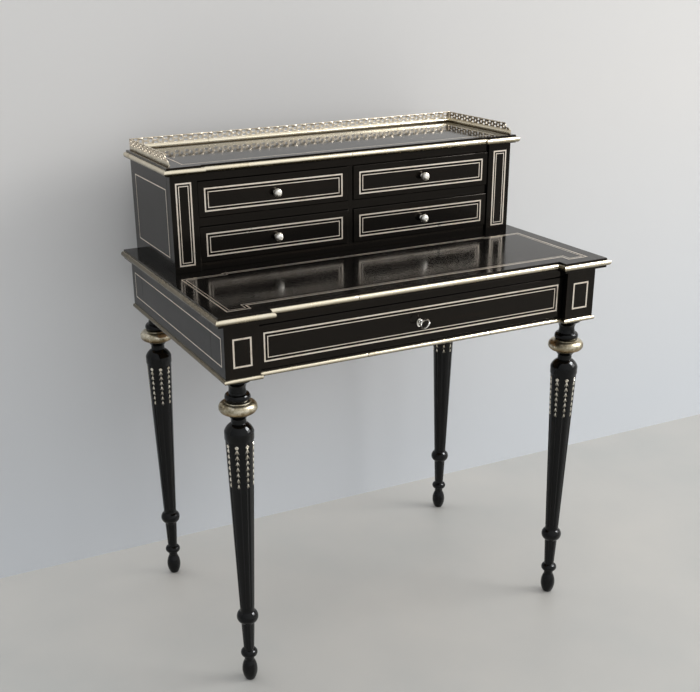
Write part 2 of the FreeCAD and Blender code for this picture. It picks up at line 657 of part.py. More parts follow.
def build_table_top():
    """Breakfront panel, its brass nosing and its stringing."""
    lines = [top_line(table_line_plan, 0.0, WIDE_LINE, TABLE_HEIGHT),
             top_line(table_line_plan, LINE_SPACING, FINE_LINE, TABLE_HEIGHT)]
    panel = prism(table_plan(), TOP_UNDER, TABLE_HEIGHT).cut(lines)
    save("table_top", panel)
    save("table_top_stringing", *lines)
    edge = PANEL_OVERHANG
    z = TABLE_HEIGHT - MOULDING_LIP - MOULDING_HALF
    path = open_path(HALF + edge, BLOCK_FACE - edge, TOP_STEP, TOP_STEP_X, BACK, z)
    save("table_top_moulding",
         swept_moulding(path, HALF + edge, BACK, z, MOULDING_HALF, MOULDING_BULGE))


def build_apron_bead():
    """Brass bead along the foot of the frame."""
    z = LEG_HEIGHT + BEAD_HEIGHT / 2
    path = open_path(HALF, BLOCK_FACE, FRAME_STEP, BLOCK_INNER, BACK, z)
    save("apron_bead", swept_moulding(path, HALF, BACK, z, BEAD_HEIGHT / 2, BEAD_BULGE))


# ---- cabinet -----------------------------------------------------------------------------
def stepped_board(z0, z1, back):
    """Board across the cabinet that fits between the pilasters at the front."""
    wide = box(-CABINET_INNER, CABINET_INNER, PILASTER_BACK, back, z0, z1)
    nose = box(-PILASTER_INNER, PILASTER_INNER, CABINET_RAIL_FACE, PILASTER_BACK, z0, z1)
    return wide.fuse(nose).removeSplitter()


def cabinet_lines():
    """Stringing of the left pilaster and the left end."""
    lines = double_front_line(
        -CABINET_HALF + PILASTER_MARGIN_OUTER, -PILASTER_INNER - PILASTER_MARGIN_INNER,
        TABLE_HEIGHT + PILASTER_MARGIN_BOTTOM, CABINET_TOP_UNDER - PILASTER_MARGIN_TOP,
        CABINET_FACE, PILASTER_LINE_SPACING)
    lines.append(end_line(CABINET_FACE + CABINET_SIDE_MARGIN_Y, BACK - CABINET_SIDE_MARGIN_Y,
                          TABLE_HEIGHT + CABINET_SIDE_MARGIN_BOTTOM,
                          CABINET_TOP_UNDER - CABINET_SIDE_MARGIN_TOP, CABINET_HALF, SIDE_LINE))
    return lines


def build_cabinet_shell():
    """Ends, pilasters, back and floor."""
    lines = cabinet_lines()
    side = box(-CABINET_HALF, -CABINET_INNER, PILASTER_BACK, BACK, TABLE_HEIGHT, CABINET_TOP_UNDER)
    side = side.cut(lines)
    pilaster = box(-CABINET_HALF, -PILASTER_INNER, CABINET_FACE, PILASTER_BACK,
                   TABLE_HEIGHT, CABINET_TOP_UNDER).cut(lines)
    save("cabinet_side_left", side)
    save("cabinet_side_right", mirrored(side))
    save("pilaster_left", pilaster)
    save("pilaster_right", mirrored(pilaster))
    save("cabinet_back", box(-CABINET_INNER, CABINET_INNER, BACK_BOARD, BACK,
                             TABLE_HEIGHT, CABINET_TOP_UNDER))
    save("cabinet_floor", stepped_board(TABLE_HEIGHT, LOWER_OPENING, BACK_BOARD))
    return lines


def build_cabinet_inside():
    """Divider, shelf, upper rail and the guides behind the pilasters."""
    half = DIVIDER_THICKNESS / 2
    rail_back = CABINET_RAIL_FACE + CABINET_RAIL_DEPTH
    divider = box(-half, half, CABINET_RAIL_FACE, BACK_BOARD, LOWER_OPENING, UPPER_OPENING_TOP)
    behind_rail = box(-half, half, rail_back, BACK_BOARD, UPPER_OPENING_TOP, CABINET_TOP_UNDER)
    divider = divider.fuse(behind_rail).removeSplitter()
    save("cabinet_divider", divider)
    shelf_rail = stepped_board(UPPER_OPENING - SHELF_THICKNESS, UPPER_OPENING, rail_back)
    dust_board = box(-CABINET_INNER, CABINET_INNER, rail_back, BACK_BOARD,
                     UPPER_OPENING - DUST_BOARD, UPPER_OPENING)
    save("cabinet_shelves", shelf_rail.cut(divider), dust_board.cut(divider))
    save("cabinet_rail_upper", stepped_board(UPPER_OPENING_TOP, CABINET_TOP_UNDER, rail_back))
    guides = []
    for z in (LOWER_OPENING, UPPER_OPENING):
        guide = box(-PILASTER_INNER - CABINET_GUIDE, -PILASTER_INNER, PILASTER_BACK, BACK_BOARD,
                    z, z + OPENING_HEIGHT)
        guides += [guide, mirrored(guide)]
    save("cabinet_drawer_guides", *guides)


def cabinet_plan(inset=0.0):
    """Outline of the cabinet's top panel."""
    edge = CABINET_PANEL_OVERHANG
    return stepped_plan(CABINET_HALF + edge, CABINET_FACE - edge, PILASTER_STEP,
                        PILASTER_INNER - edge, BACK, inset=inset)


def cabinet_line_plan(inset=0.0):
    """Rectangle of stringing inside the gallery."""
    ends = CABINET_HALF + CABINET_PANEL_OVERHANG - CABINET_TOP_MARGIN_ENDS - inset
    fore = CABINET_RAIL_FACE - CABINET_PANEL_OVERHANG + CABINET_TOP_MARGIN_FRONT + inset
    rear = BACK - CABINET_TOP_MARGIN_BACK - inset
    return [(-ends, fore), (ends, fore), (ends, rear), (-ends, rear)]


def build_cabinet_top(lines):
    """Top panel, its nosing, and all the stringing of the cabinet."""
    line = top_line(cabinet_line_plan, 0.0, SIDE_LINE, CABINET_TOP)
    save("cabinet_top", prism(cabinet_plan(), CABINET_TOP_UNDER, CABINET_TOP).cut(line))
    save("cabinet_stringing", line, *(lines + [mirrored(one) for one in lines]))
    edge = CABINET_PANEL_OVERHANG
    z = CABINET_TOP - CABINET_MOULDING_LIP - CABINET_MOULDING_HALF
    path = open_path(CABINET_HALF + edge, CABINET_FACE - edge, PILASTER_STEP,
                     PILASTER_INNER - edge, BACK, z)
    save("cabinet_top_moulding", swept_moulding(path, CABINET_HALF + edge, BACK, z,
                                                CABINET_MOULDING_HALF, CABINET_MOULDING_BULGE))


# ---- gallery -----------------------------------------------------------------------------
def octagon(x, z, half_width, half_height, y0, y1):
    """Eight-sided piercing through a strip that lies along X."""
    cut = math.tan(math.radians(22.5))
    ring = [(1, cut), (cut, 1), (-cut, 1), (-1, cut), (-1, -cut), (-cut, -1), (cut, -1), (1, -cut)]
    corners = [V(x + half_width * a, y0, z + half_height * b) for a, b in ring]
    return Part.Face(Part.makePolygon(corners + corners[:1])).extrude(V(0, y1 - y0, 0))


def pierced_strip(length, first, pairs, rounds):
    """Gallery strip along +X from the origin, outer face at y = 0, standing on z = 0.
    Round piercings alternate with pairs of flat ones, so that the metal left makes a trellis."""
    strip = box(0, length, -GALLERY_THICKNESS, 0, 0, GALLERY_HEIGHT)
    foot = box(0, length, -GALLERY_FOOT_THICKNESS, 0, 0, GALLERY_FOOT)
    low = GALLERY_BASE
    high = GALLERY_HEIGHT - GALLERY_RAIL
    rail = box(0, length, -GALLERY_FOOT_THICKNESS, 0, high, GALLERY_HEIGHT)
    half = GALLERY_PAIR_HEIGHT / 2
    from_plain = half + GALLERY_PAIR_LIP
    back_face = -GALLERY_THICKNESS - 1
    holes = []
    for i in range(pairs):
        x = first + i * GALLERY_PITCH
        for z in (low + from_plain, high - from_plain):
            holes.append(octagon(x, z, GALLERY_PAIR_WIDTH / 2, half, back_face, 1))
    for i in range(rounds):
        x = first + (i + 0.5) * GALLERY_PITCH
        holes.append(octagon(x, (low + high) / 2, GALLERY_ROUND_RADIUS, GALLERY_ROUND_RADIUS,
                             back_face, 1))
    return strip.fuse([foot, rail]).removeSplitter().cut(holes)


def pierced_count(length, margin):
    """Columns of paired piercings that fit a strip."""
    return 1 + int((length - margin) / GALLERY_PITCH)


def scrolled(strip, length):
    """The strip with its front end cut to two quarter rounds, one over the other."""
    radius = (GALLERY_HEIGHT - GALLERY_FOOT) / 2
    for set_back, foot in ((GALLERY_TOE, GALLERY_FOOT),
                           (GALLERY_SCROLL_STEP, GALLERY_FOOT + radius)):
        x = length - set_back - radius
        corner = box(x, length + 1, -10, 1, foot, foot + radius + 1)
        kept = Part.makeCylinder(radius, 12, V(x, 2, foot), V(0, -1, 0))
        strip = strip.cut(corner.cut(kept))
    return strip


def build_gallery():
    """Back strip and two side strips with scrolled front ends."""
    outer = CABINET_HALF + CABINET_PANEL_OVERHANG - GALLERY_INSET
    length = 2 * outer
    count = pierced_count(length, GALLERY_PITCH)
    first = (length - (count - 1) * GALLERY_PITCH) / 2
    back = pierced_strip(length, first, count, count - 1)
    back.translate(V(-outer, BACK - GALLERY_BACK_INSET, CABINET_TOP))
    save("gallery_back", back)
    side_back = BACK - GALLERY_BACK_INSET - GALLERY_FOOT_THICKNESS
    side_length = side_back - CABINET_FACE - GALLERY_FRONT_INSET
    count = pierced_count(side_length, GALLERY_SIDE_FIRST + GALLERY_SIDE_PLAIN)
    side = pierced_strip(side_length, GALLERY_SIDE_FIRST, count, count)
    end_hole = octagon(side_length - GALLERY_END_HOLE_BACK, GALLERY_END_HOLE_HEIGHT,
                       GALLERY_END_HOLE_RADIUS, GALLERY_END_HOLE_RADIUS,
                       -GALLERY_THICKNESS - 1, 1)
    side = scrolled(side.cut(end_hole), side_length)
    side.rotate(V(0, 0, 0), V(0, 0, 1), -90)
    side.translate(V(outer, side_back, CABINET_TOP))
    save("gallery_sides", side, mirrored(side))


# ---- drawers -----------------------------------------------------------------------------
def drawer_front(x0, x1, z0, z1, face, thickness):
    """Drawer front with its four front edges eased."""
    front = box(x0, x1, face, face + thickness, z0, z1)
    edges = [edge for edge in front.Edges if all(abs(v.Y - face) < 0.001 for v in edge.Vertexes)]
    return front.makeChamfer(FRONT_CHAMFER, edges)


def drawer_box(x0, x1, z0, z1, front_back, depth, side):
    """Sides, back and bottom board of a drawer whose front ends at front_back."""
    rear = front_back + depth
    left = box(x0, x0 + side, front_back, rear, z0, z1)
    right = box(x1 - side, x1, front_back, rear, z0, z1)
    panel_z = z0 + BOTTOM_RAISE
    bottom = box(x0 + side - BOTTOM_GROOVE, x1 - side + BOTTOM_GROOVE,
                 front_back - BOTTOM_GROOVE, rear, panel_z, panel_z + DRAWER_BOTTOM)
    back = box(x0 + side, x1 - side, rear - side, rear, panel_z + DRAWER_BOTTOM, z1 - BOTTOM_RAISE)
    return left.cut(bottom), right.cut(bottom), back, bottom


def bolt_depth():
    """Front and back of the lock bolt, along Y."""
    case_back = FRONT + FRONT_THICKNESS
    middle = case_back - LOCK_DEPTH / 2
    return middle - BOLT_THICKNESS / 2, middle + BOLT_THICKNESS / 2


def keyhole(y0, y1):
    """Round hole with a slot below it, for the shank and the bit."""
    hole = Part.makeCylinder(KEYHOLE_RADIUS, y1 - y0, V(LOCK_X, y0, KEY_Z), V(0, 1, 0))
    half = KEYHOLE_SLOT / 2
    return hole.fuse(box(LOCK_X - half, LOCK_X + half, y0, y1, KEY_Z - KEYHOLE_DROP, KEY_Z))


def lock_blocks():
    """Outer body and selvedge of the lock, which the drawer front is cut away for."""
    case_back = FRONT + FRONT_THICKNESS
    half = LOCK_WIDTH / 2
    case = box(LOCK_X - half, LOCK_X + half, case_back - LOCK_DEPTH, case_back,
               KEY_Z - LOCK_BELOW_KEY, LONG_TOP - SELVEDGE_THICKNESS)
    long = SELVEDGE_LENGTH / 2
    selvedge = box(LOCK_X - long, LOCK_X + long, case_back - SELVEDGE_DEPTH, case_back,
                   LONG_TOP - SELVEDGE_THICKNESS, LONG_TOP)
    return case, selvedge


def make_escutcheon(grow=0.0):
    """Oval key plate let into the drawer's face."""
    return ellipse_prism(ESCUTCHEON_HALF_WIDTH + grow, ESCUTCHEON_HALF_HEIGHT + grow,
                         FRONT - ESCUTCHEON_PROUD, FRONT + ESCUTCHEON_THICKNESS,
                         LOCK_X, KEY_Z - ESCUTCHEON_DROP)


def build_lock():
    """Lock case with its cavity, the bolt, the key plate and the key."""
    case, selvedge = lock_blocks()
    case_back = FRONT + FRONT_THICKNESS
    wall = LOCK_WALL
    half = LOCK_WIDTH / 2 - wall
    cavity = box(LOCK_X - half, LOCK_X + half, case_back - LOCK_DEPTH + wall, case_back - wall,
                 KEY_Z - LOCK_BELOW_KEY + wall, LONG_TOP - SELVEDGE_THICKNESS)
    y0, y1 = bolt_depth()
    slot_half = BOLT_WIDTH / 2 + BOLT_PLAY
    slot = box(LOCK_X - slot_half, LOCK_X + slot_half, y0 - BOLT_PLAY, y1 + BOLT_PLAY,
               LONG_TOP - SELVEDGE_THICKNESS - 1, LONG_TOP + 1)
    front_hole = keyhole(case_back - LOCK_DEPTH, case_back - LOCK_DEPTH + wall)
    save("lock_case", case.fuse(selvedge).removeSplitter().cut([cavity, slot, front_hole]))
    save("lock_bolt", box(LOCK_X - BOLT_WIDTH / 2, LOCK_X + BOLT_WIDTH / 2, y0, y1,
                          KEY_Z + BOLT_TAIL, LONG_TOP - BOLT_SUNK))
    plate_hole = keyhole(FRONT - ESCUTCHEON_PROUD, FRONT + ESCUTCHEON_THICKNESS)
    save("escutcheon", make_escutcheon().cut(plate_hole))
    save("key", make_key())


def key_oval(y, half_length, half_width):
    """Oval slab for the key's bow before it is turned, its long way along Y."""
    x = -BOW_THICKNESS / 2
    curve = Part.Ellipse(V(x, y + half_length, 0), V(x, y, half_width), V(x, y, 0))
    return Part.Face(Part.Wire(curve.toShape())).extrude(V(BOW_THICKNESS, 0, 0))


def make_key():
    """Key with an oval bow, a collared shank and a bit, part-turned in the lock."""
    end = FRONT + FRONT_THICKNESS - LOCK_WALL - 1.0
    bow_y = FRONT - BOW_REACH + BOW_HALF_LENGTH
    bow = key_oval(bow_y, BOW_HALF_LENGTH, BOW_HALF_WIDTH)
    hole = key_oval(bow_y, BOW_HALF_LENGTH - BOW_RIM, BOW_HALF_WIDTH - BOW_RIM)
    start = bow_y + BOW_HALF_LENGTH - BOW_RIM / 2
    shank = Part.makeCylinder(SHANK_RADIUS, end - start, V(0, start, 0), V(0, 1, 0))
    collar = Part.makeCylinder(COLLAR_KEY_RADIUS, COLLAR_KEY_LENGTH,
                               V(0, start + BOW_RIM, 0), V(0, 1, 0))
    bit = box(-BIT_THICKNESS / 2, BIT_THICKNESS / 2, end - BIT_WIDTH - 0.5, end - 0.5,
              -BIT_RADIUS, 0)
    key = bow.cut(hole).fuse([shank, collar, bit]).removeSplitter()
    key.rotate(V(0, 0, 0), V(0, 1, 0), KEY_TURN)
    key.translate(V(LOCK_X, 0, KEY_Z))
    return key


def build_long_drawer():
    """Long drawer of the table with its stringing."""
    x0, x1 = -LONG_HALF, LONG_HALF
    lines = double_front_line(x0 + LONG_DRAWER_MARGIN_X, x1 - LONG_DRAWER_MARGIN_X,
                              LONG_BOTTOM + LONG_DRAWER_MARGIN_Z, LONG_TOP - LONG_DRAWER_MARGIN_Z,
                              FRONT, LINE_SPACING)
    front_back = FRONT + FRONT_THICKNESS
    side0, side1, back, bottom = drawer_box(
        x0 + BOX_INSET, x1 - BOX_INSET, LONG_BOTTOM, LONG_TOP - LONG_BOX_LOWER,
        front_back, LONG_BOX_DEPTH, LONG_SIDE)
    front = drawer_front(x0, x1, LONG_BOTTOM, LONG_TOP, FRONT, FRONT_THICKNESS)
    hole = keyhole(FRONT, front_back - LOCK_DEPTH)
    cuts = lines + list(lock_blocks()) + [hole, make_escutcheon(), bottom]
    save("long_drawer_front", front.cut(cuts))
    save("long_drawer_box", side0, side1, back)
    save("long_drawer_bottom", bottom)
    save("long_drawer_stringing", *lines)


def make_knob(x, z):
    """Turned brass knob with a threaded stud in the drawer front."""
    centre = KNOB_REACH - KNOB_RADIUS + KNOB_FLAT
    flat = math.sqrt(KNOB_RADIUS ** 2 - (KNOB_RADIUS - KNOB_FLAT) ** 2)
    neck = centre - math.sqrt(KNOB_RADIUS ** 2 - KNOB_NECK_RADIUS ** 2)
    knob = turned([
        (KNOB_STUD_RADIUS, -KNOB_STUD_LENGTH),
        (KNOB_STUD_RADIUS, 0.0),
        (KNOB_BASE_RADIUS, 0.0),
        (KNOB_BASE_RADIUS - 0.4, KNOB_BASE / 2, KNOB_NECK_RADIUS, KNOB_BASE),
        (KNOB_NECK_RADIUS, neck),
        (KNOB_RADIUS, centre, flat, KNOB_REACH),
    ])
    knob.rotate(V(0, 0, 0), V(1, 0, 0), 90)
    knob.translate(V(x, SMALL_FACE, z))
    return knob


def build_small_drawers():
    """Four small drawers in two rows, each with a knob."""
    for row, opening in (("upper", UPPER_OPENING), ("lower", LOWER_OPENING)):
        z0 = opening + SLIDE_PLAY
        z1 = opening + OPENING_HEIGHT - SMALL_TOP_PLAY
        for side, x0, x1 in (("left", -SMALL_OUTER, -SMALL_INNER),
                             ("right", SMALL_INNER, SMALL_OUTER)):
            name = "small_drawer_" + row + "_" + side
            lines = double_front_line(
                x0 + SMALL_DRAWER_MARGIN_X, x1 - SMALL_DRAWER_MARGIN_X,
                z0 + SMALL_DRAWER_MARGIN_BOTTOM, z1 - SMALL_DRAWER_MARGIN_TOP,
                SMALL_FACE, LINE_SPACING)
            front_back = SMALL_FACE + SMALL_FRONT_THICKNESS
            solids = drawer_box(x0 + SMALL_BOX_INSET, x1 - SMALL_BOX_INSET,
                                z0, z1 - SMALL_BOX_LOWER,
                                front_back, SMALL_BOX_DEPTH, SMALL_SIDE)
            x, z = (x0 + x1) / 2, (z0 + z1) / 2
            stud_hole = Part.makeCylinder(KNOB_STUD_RADIUS + KNOB_STUD_PLAY,
                                          KNOB_STUD_LENGTH + KNOB_STUD_PLAY,
                                          V(x, SMALL_FACE, z), V(0, 1, 0))
            front = drawer_front(x0, x1, z0, z1, SMALL_FACE, SMALL_FRONT_THICKNESS)
            save(name + "_front", front.cut(lines + [solids[3], stud_hole]))
            save(name + "_box", *solids)
            save(name + "_stringing", *lines)
            save(name + "_knob", make_knob(x, z))


def main():
    os.makedirs("parts", exist_ok=True)
    build_legs()
    lines = frame_lines()
    build_corner_posts(lines)
    build_aprons(lines)
    save("frame_stringing", *lines)
    build_rails()
    build_table_top()
    build_apron_bead()
    build_cabinet_top(build_cabinet_shell())
    build_cabinet_inside()
    build_gallery()
    build_long_drawer()
    build_lock()
    build_small_drawers()


main()
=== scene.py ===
"""Looks of an ebonised lady's writing desk: black veneer under french polish, brass lines let in
flush, gilt brass mouldings, turned and fluted legs with rings and husks, and a pierced gallery."""
import json
import math

import bmesh
import bpy
from mathutils import Matrix, Vector, kdtree, noise

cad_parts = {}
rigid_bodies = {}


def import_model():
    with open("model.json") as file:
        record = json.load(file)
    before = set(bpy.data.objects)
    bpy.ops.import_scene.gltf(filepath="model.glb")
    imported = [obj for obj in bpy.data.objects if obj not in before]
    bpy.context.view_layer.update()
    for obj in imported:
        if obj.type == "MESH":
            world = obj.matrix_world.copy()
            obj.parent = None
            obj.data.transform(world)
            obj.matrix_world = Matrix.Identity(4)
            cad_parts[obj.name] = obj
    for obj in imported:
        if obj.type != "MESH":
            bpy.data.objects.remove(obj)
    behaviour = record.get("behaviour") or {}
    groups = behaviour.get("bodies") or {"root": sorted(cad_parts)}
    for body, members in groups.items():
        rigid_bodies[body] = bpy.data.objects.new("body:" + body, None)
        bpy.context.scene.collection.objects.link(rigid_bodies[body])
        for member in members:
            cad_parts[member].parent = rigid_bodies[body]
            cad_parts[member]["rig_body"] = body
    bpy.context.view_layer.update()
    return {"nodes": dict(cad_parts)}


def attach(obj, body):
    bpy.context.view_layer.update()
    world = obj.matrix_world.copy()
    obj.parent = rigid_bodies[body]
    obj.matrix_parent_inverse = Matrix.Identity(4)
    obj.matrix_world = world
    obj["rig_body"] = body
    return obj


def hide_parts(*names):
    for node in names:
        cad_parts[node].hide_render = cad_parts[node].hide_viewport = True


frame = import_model()
MM = 0.001


# ---- camera, room and lamps --------------------------------------------------------------
CAMERA_PLACE = (-0.97835, -1.84980, 1.27011)
CAMERA_RIGHT = (0.90443, -0.42617, -0.01957)
CAMERA_UP = (0.17930, 0.33809, 0.92388)
CAMERA_LENS = 56.27
CAMERA_SHIFT = (0.0662, 0.0962)
WALL_Y = 0.380
ROOM_HALF = 6.0
WALL_HEIGHT = 4.0
# the lower colour, bluer and a little darker, is painted shade towards the floor
WALL_PAINT_AND_SHADE = ("#d8dce1", "#e2e1e0")     # at the floor, and from the height of the desk up
FLOOR_COLOUR = "#bfbeba"
PANE_ROWS = {"low": 2.4, "middle": 2.95, "high": 3.5}
PANE_COLUMNS = {"left": (2.33, -1.49), "right": (2.57, -0.81)}
PANE_SIZE = (0.62, 0.42)


def add_camera():
    """Camera at the height of a standing person, a little left of the desk's middle."""
    data = bpy.data.cameras.new("camera")
    data.lens = CAMERA_LENS
    data.shift_x, data.shift_y = CAMERA_SHIFT
    camera = bpy.data.objects.new("camera", data)
    bpy.context.scene.collection.objects.link(camera)
    right = Vector(CAMERA_RIGHT)
    up = Vector(CAMERA_UP)
    turn = Matrix((right, up, right.cross(up))).transposed()
    camera.matrix_world = Matrix.Translation(CAMERA_PLACE) @ turn.to_4x4()
    bpy.context.scene.camera = camera


def linear(colour):
    """Linear RGBA of an sRGB hex colour such as #1a1410."""
    channels = [int(colour[i:i + 2], 16) / 255 for i in (1, 3, 5)]
    return tuple(c / 12.92 if c <= 0.04045 else ((c + 0.055) / 1.055) ** 2.4
                 for c in channels) + (1.0,)


def add_node(tree, kind, sockets=None, stops=None, **settings):
    """A node with its settings, its colour stops, and each named socket linked or set."""
    made = tree.nodes.new(kind)
    for name, value in settings.items():
        setattr(made, name, value)
    if stops:
        ramp = made.color_ramp
        while len(ramp.elements) < len(stops):
            ramp.elements.new(1.0)
        for element, (place, colour) in zip(ramp.elements, stops):
            element.position = place
            element.color = linear(colour)
    for key, value in (sockets or {}).items():
        socket = made.inputs[key]
        if isinstance(value, bpy.types.NodeSocket):
            tree.links.new(value, socket)
        else:
            socket.default_value = value
    return made


def new_material(name):
    """An empty node material and its tree."""
    material = bpy.data.materials.new(name)
    material.use_nodes = True
    material.node_tree.nodes.clear()
    return material, material.node_tree


def finish_material(tree, shader):
    """Ties a shader to the material's output."""
    add_node(tree, "ShaderNodeOutputMaterial", {"Surface": shader.outputs[0]})


def flat_mesh(name, corners, material):
    """One four-sided stage surface."""
    mesh = bpy.data.meshes.new(name)
    mesh.from_pydata(corners, [], [(0, 1, 2, 3)])
    mesh.materials.append(material)
    made = bpy.data.objects.new(name, mesh)
    bpy.context.scene.collection.objects.link(made)


def painted_concrete():
    """Sealed concrete floor: pale grey, cloudy, with a low satin sheen."""
    material, tree = new_material("sealed_concrete_floor")
    place = add_node(tree, "ShaderNodeTexCoord").outputs["Object"]
    clouds = add_node(tree, "ShaderNodeTexNoise",
                      {"Vector": place, "Scale": 2.2, "Detail": 4.0, "Roughness": 0.55})
    colour = add_node(tree, "ShaderNodeValToRGB", {"Fac": clouds.outputs["Fac"]},
                      stops=[(0.3, "#b8b9b6"), (0.5, FLOOR_COLOUR), (0.72, "#c5c3be")])
    shader = add_node(tree, "ShaderNodeBsdfPrincipled",
                      {"Base Color": colour.outputs["Color"], "Roughness": 0.42})
    finish_material(tree, shader)
    return material


def one_sided_wall():
    """Matt painted wall that only its own room sees: light and sight pass it from behind."""
    material, tree = new_material("matt_wall_paint")
    place = add_node(tree, "ShaderNodeTexCoord").outputs["Object"]
    height = add_node(tree, "ShaderNodeSeparateXYZ", {0: place}).outputs["Z"]
    # bluer and a little darker towards the floor: painted shade
    colour = add_node(tree, "ShaderNodeValToRGB", {"Fac": height},
                      stops=[(0.1, WALL_PAINT_AND_SHADE[0]), (0.95, WALL_PAINT_AND_SHADE[1])])
    paint = add_node(tree, "ShaderNodeBsdfDiffuse", {"Color": colour.outputs["Color"]})
    gone = add_node(tree, "ShaderNodeBsdfTransparent")
    path = add_node(tree, "ShaderNodeLightPath")
    seen = add_node(tree, "ShaderNodeMath", {0: path.outputs["Is Camera Ray"],
                                             1: path.outputs["Is Glossy Ray"]},
                    operation="MAXIMUM")
    back = add_node(tree, "ShaderNodeNewGeometry").outputs["Backfacing"]
    shown = add_node(tree, "ShaderNodeMath", {0: seen.outputs[0], 1: back},
                     operation="SUBTRACT", use_clamp=True)
    mix = add_node(tree, "ShaderNodeMixShader", {"Fac": shown.outputs[0],
                                                 1: gone.outputs[0], 2: paint.outputs[0]})
    finish_material(tree, mix)
    return material


def add_room():
    """Pale floor and wall."""
    half = ROOM_HALF
    flat_mesh("floor", [(-half, -half, 0), (half, -half, 0), (half, half, 0), (-half, half, 0)],
              painted_concrete())
    flat_mesh("wall", [(-half, WALL_Y, 0), (half, WALL_Y, 0), (half, WALL_Y, WALL_HEIGHT),
                       (-half, WALL_Y, WALL_HEIGHT)], one_sided_wall())


def add_lamp(name, place, aim, size, watts, colour="#ffffff"):
    """Soft rectangular lamp that looks at a point."""
    data = bpy.data.lights.new(name, "AREA")
    data.shape = "RECTANGLE"
    data.size, data.size_y = size
    data.energy = watts
    data.color = linear(colour)[:3]
    lamp = bpy.data.objects.new(name, data)
    bpy.context.scene.collection.objects.link(lamp)
    lamp.location = place
    lamp.rotation_euler = (Vector(aim) - Vector(place)).to_track_quat("-Z", "Y").to_euler()
    return lamp


def add_light():
    """Pale surroundings, a little darker on the left, soft light from the right, and a weak lamp
    behind. The six panes of a window show only as glints on polished curves."""
    world = bpy.data.worlds.new("room_light")
    bpy.context.scene.world = world
    world.use_nodes = True
    tree = world.node_tree
    tree.nodes.clear()
    way = add_node(tree, "ShaderNodeTexCoord").outputs["Generated"]
    across = add_node(tree, "ShaderNodeSeparateXYZ", {0: way}).outputs["X"]
    share = add_node(tree, "ShaderNodeMapRange", {"Value": across, "From Min": -1.0,
                                                  "From Max": 1.0})
    colour = add_node(tree, "ShaderNodeValToRGB", {"Fac": share.outputs[0]},
                      stops=[(0.0, "#b4b6b9"), (0.5, "#f1f2f3"), (1.0, "#fdfdfc")])
    sky = add_node(tree, "ShaderNodeBackground", {"Color": colour.outputs["Color"],
                                                  "Strength": 1.0})
    add_node(tree, "ShaderNodeOutputWorld", {"Surface": sky.outputs[0]})
    add_lamp("window_glow", (3.2, -1.7, 2.5), (0.0, 0.0, 0.6), (1.8, 1.8), 58.0, "#fffdfa")
    for row, height in PANE_ROWS.items():
        for side, (x, y) in PANE_COLUMNS.items():
            pane = add_lamp("window_pane_" + row + "_" + side, (x, y, height),
                            (-0.3, -0.2, 0.5), PANE_SIZE, 25.0)
            pane.visible_diffuse = False
    add_lamp("rear_fill", (-2.2, 2.6, 2.2), (0.0, 0.0, 0.6), (2.0, 1.6), 14.0)


# ---- finishes ----------------------------------------------------------------------------
def object_place(tree, stretch=(1.0, 1.0, 1.0)):
    """Place on the piece, in metres, drawn out along its grain."""
    place = add_node(tree, "ShaderNodeTexCoord").outputs["Object"]
    return add_node(tree, "ShaderNodeMapping", {"Vector": place, "Scale": stretch}).outputs[0]


def per_mm(size):
    """Noise scale, per metre, for features of this size in millimetres."""
    return 1.0 / (size * MM)


def french_polished_black(name, grain, dullest=0.19, cast="#17110d", tint="#f6e8d8", ior=1.32):
    """Pear wood stained black and french polished: a deep black which mirrors the room softly
    under a thin shellac film, with fine pores along the grain, slow ripples left by the polishing
    rubber, and hazier patches where it has been handled. Dullest is the roughness of the haze,
    cast the tone where the stain is thin, and tint the colour that the shellac gives to gloss."""
    material, tree = new_material(name)
    plain = object_place(tree)
    along = object_place(tree, grain)
    stain = add_node(tree, "ShaderNodeTexNoise",
                     {"Vector": along, "Scale": per_mm(9.0), "Detail": 5.0, "Roughness": 0.6})
    colour = add_node(tree, "ShaderNodeValToRGB", {"Fac": stain.outputs["Fac"]},
                      stops=[(0.3, "#060606"), (0.55, "#0a0908"), (0.78, cast)])
    haze = add_node(tree, "ShaderNodeTexNoise",
                    {"Vector": plain, "Scale": per_mm(85.0), "Detail": 4.0, "Roughness": 0.5})
    dull = add_node(tree, "ShaderNodeMapRange", {"Value": haze.outputs["Fac"], "From Min": 0.35,
                                                 "From Max": 0.75, "To Max": dullest,
                                                 "To Min": 0.6 * dullest})
    # veneer pores are finer than can show, so they are drawn 1.5 mm apart
    pores = add_node(tree, "ShaderNodeTexNoise",
                     {"Vector": along, "Scale": per_mm(1.5), "Detail": 3.0, "Roughness": 0.7})
    ripples = add_node(tree, "ShaderNodeTexNoise",
                       {"Vector": plain, "Scale": per_mm(55.0), "Detail": 2.0})
    fine = add_node(tree, "ShaderNodeBump", {"Height": pores.outputs["Fac"], "Strength": 1.0,
                                             "Distance": 0.006 * MM})
    wavy = add_node(tree, "ShaderNodeBump", {"Height": ripples.outputs["Fac"], "Strength": 1.0,
                                             "Distance": 0.22 * MM, "Normal": fine.outputs[0]})
    shader = add_node(tree, "ShaderNodeBsdfPrincipled", {
        "Base Color": colour.outputs["Color"], "Roughness": dull.outputs[0], "IOR": ior,
        "Specular Tint": linear(tint), "Normal": wavy.outputs[0]})
    finish_material(tree, shader)
    return material


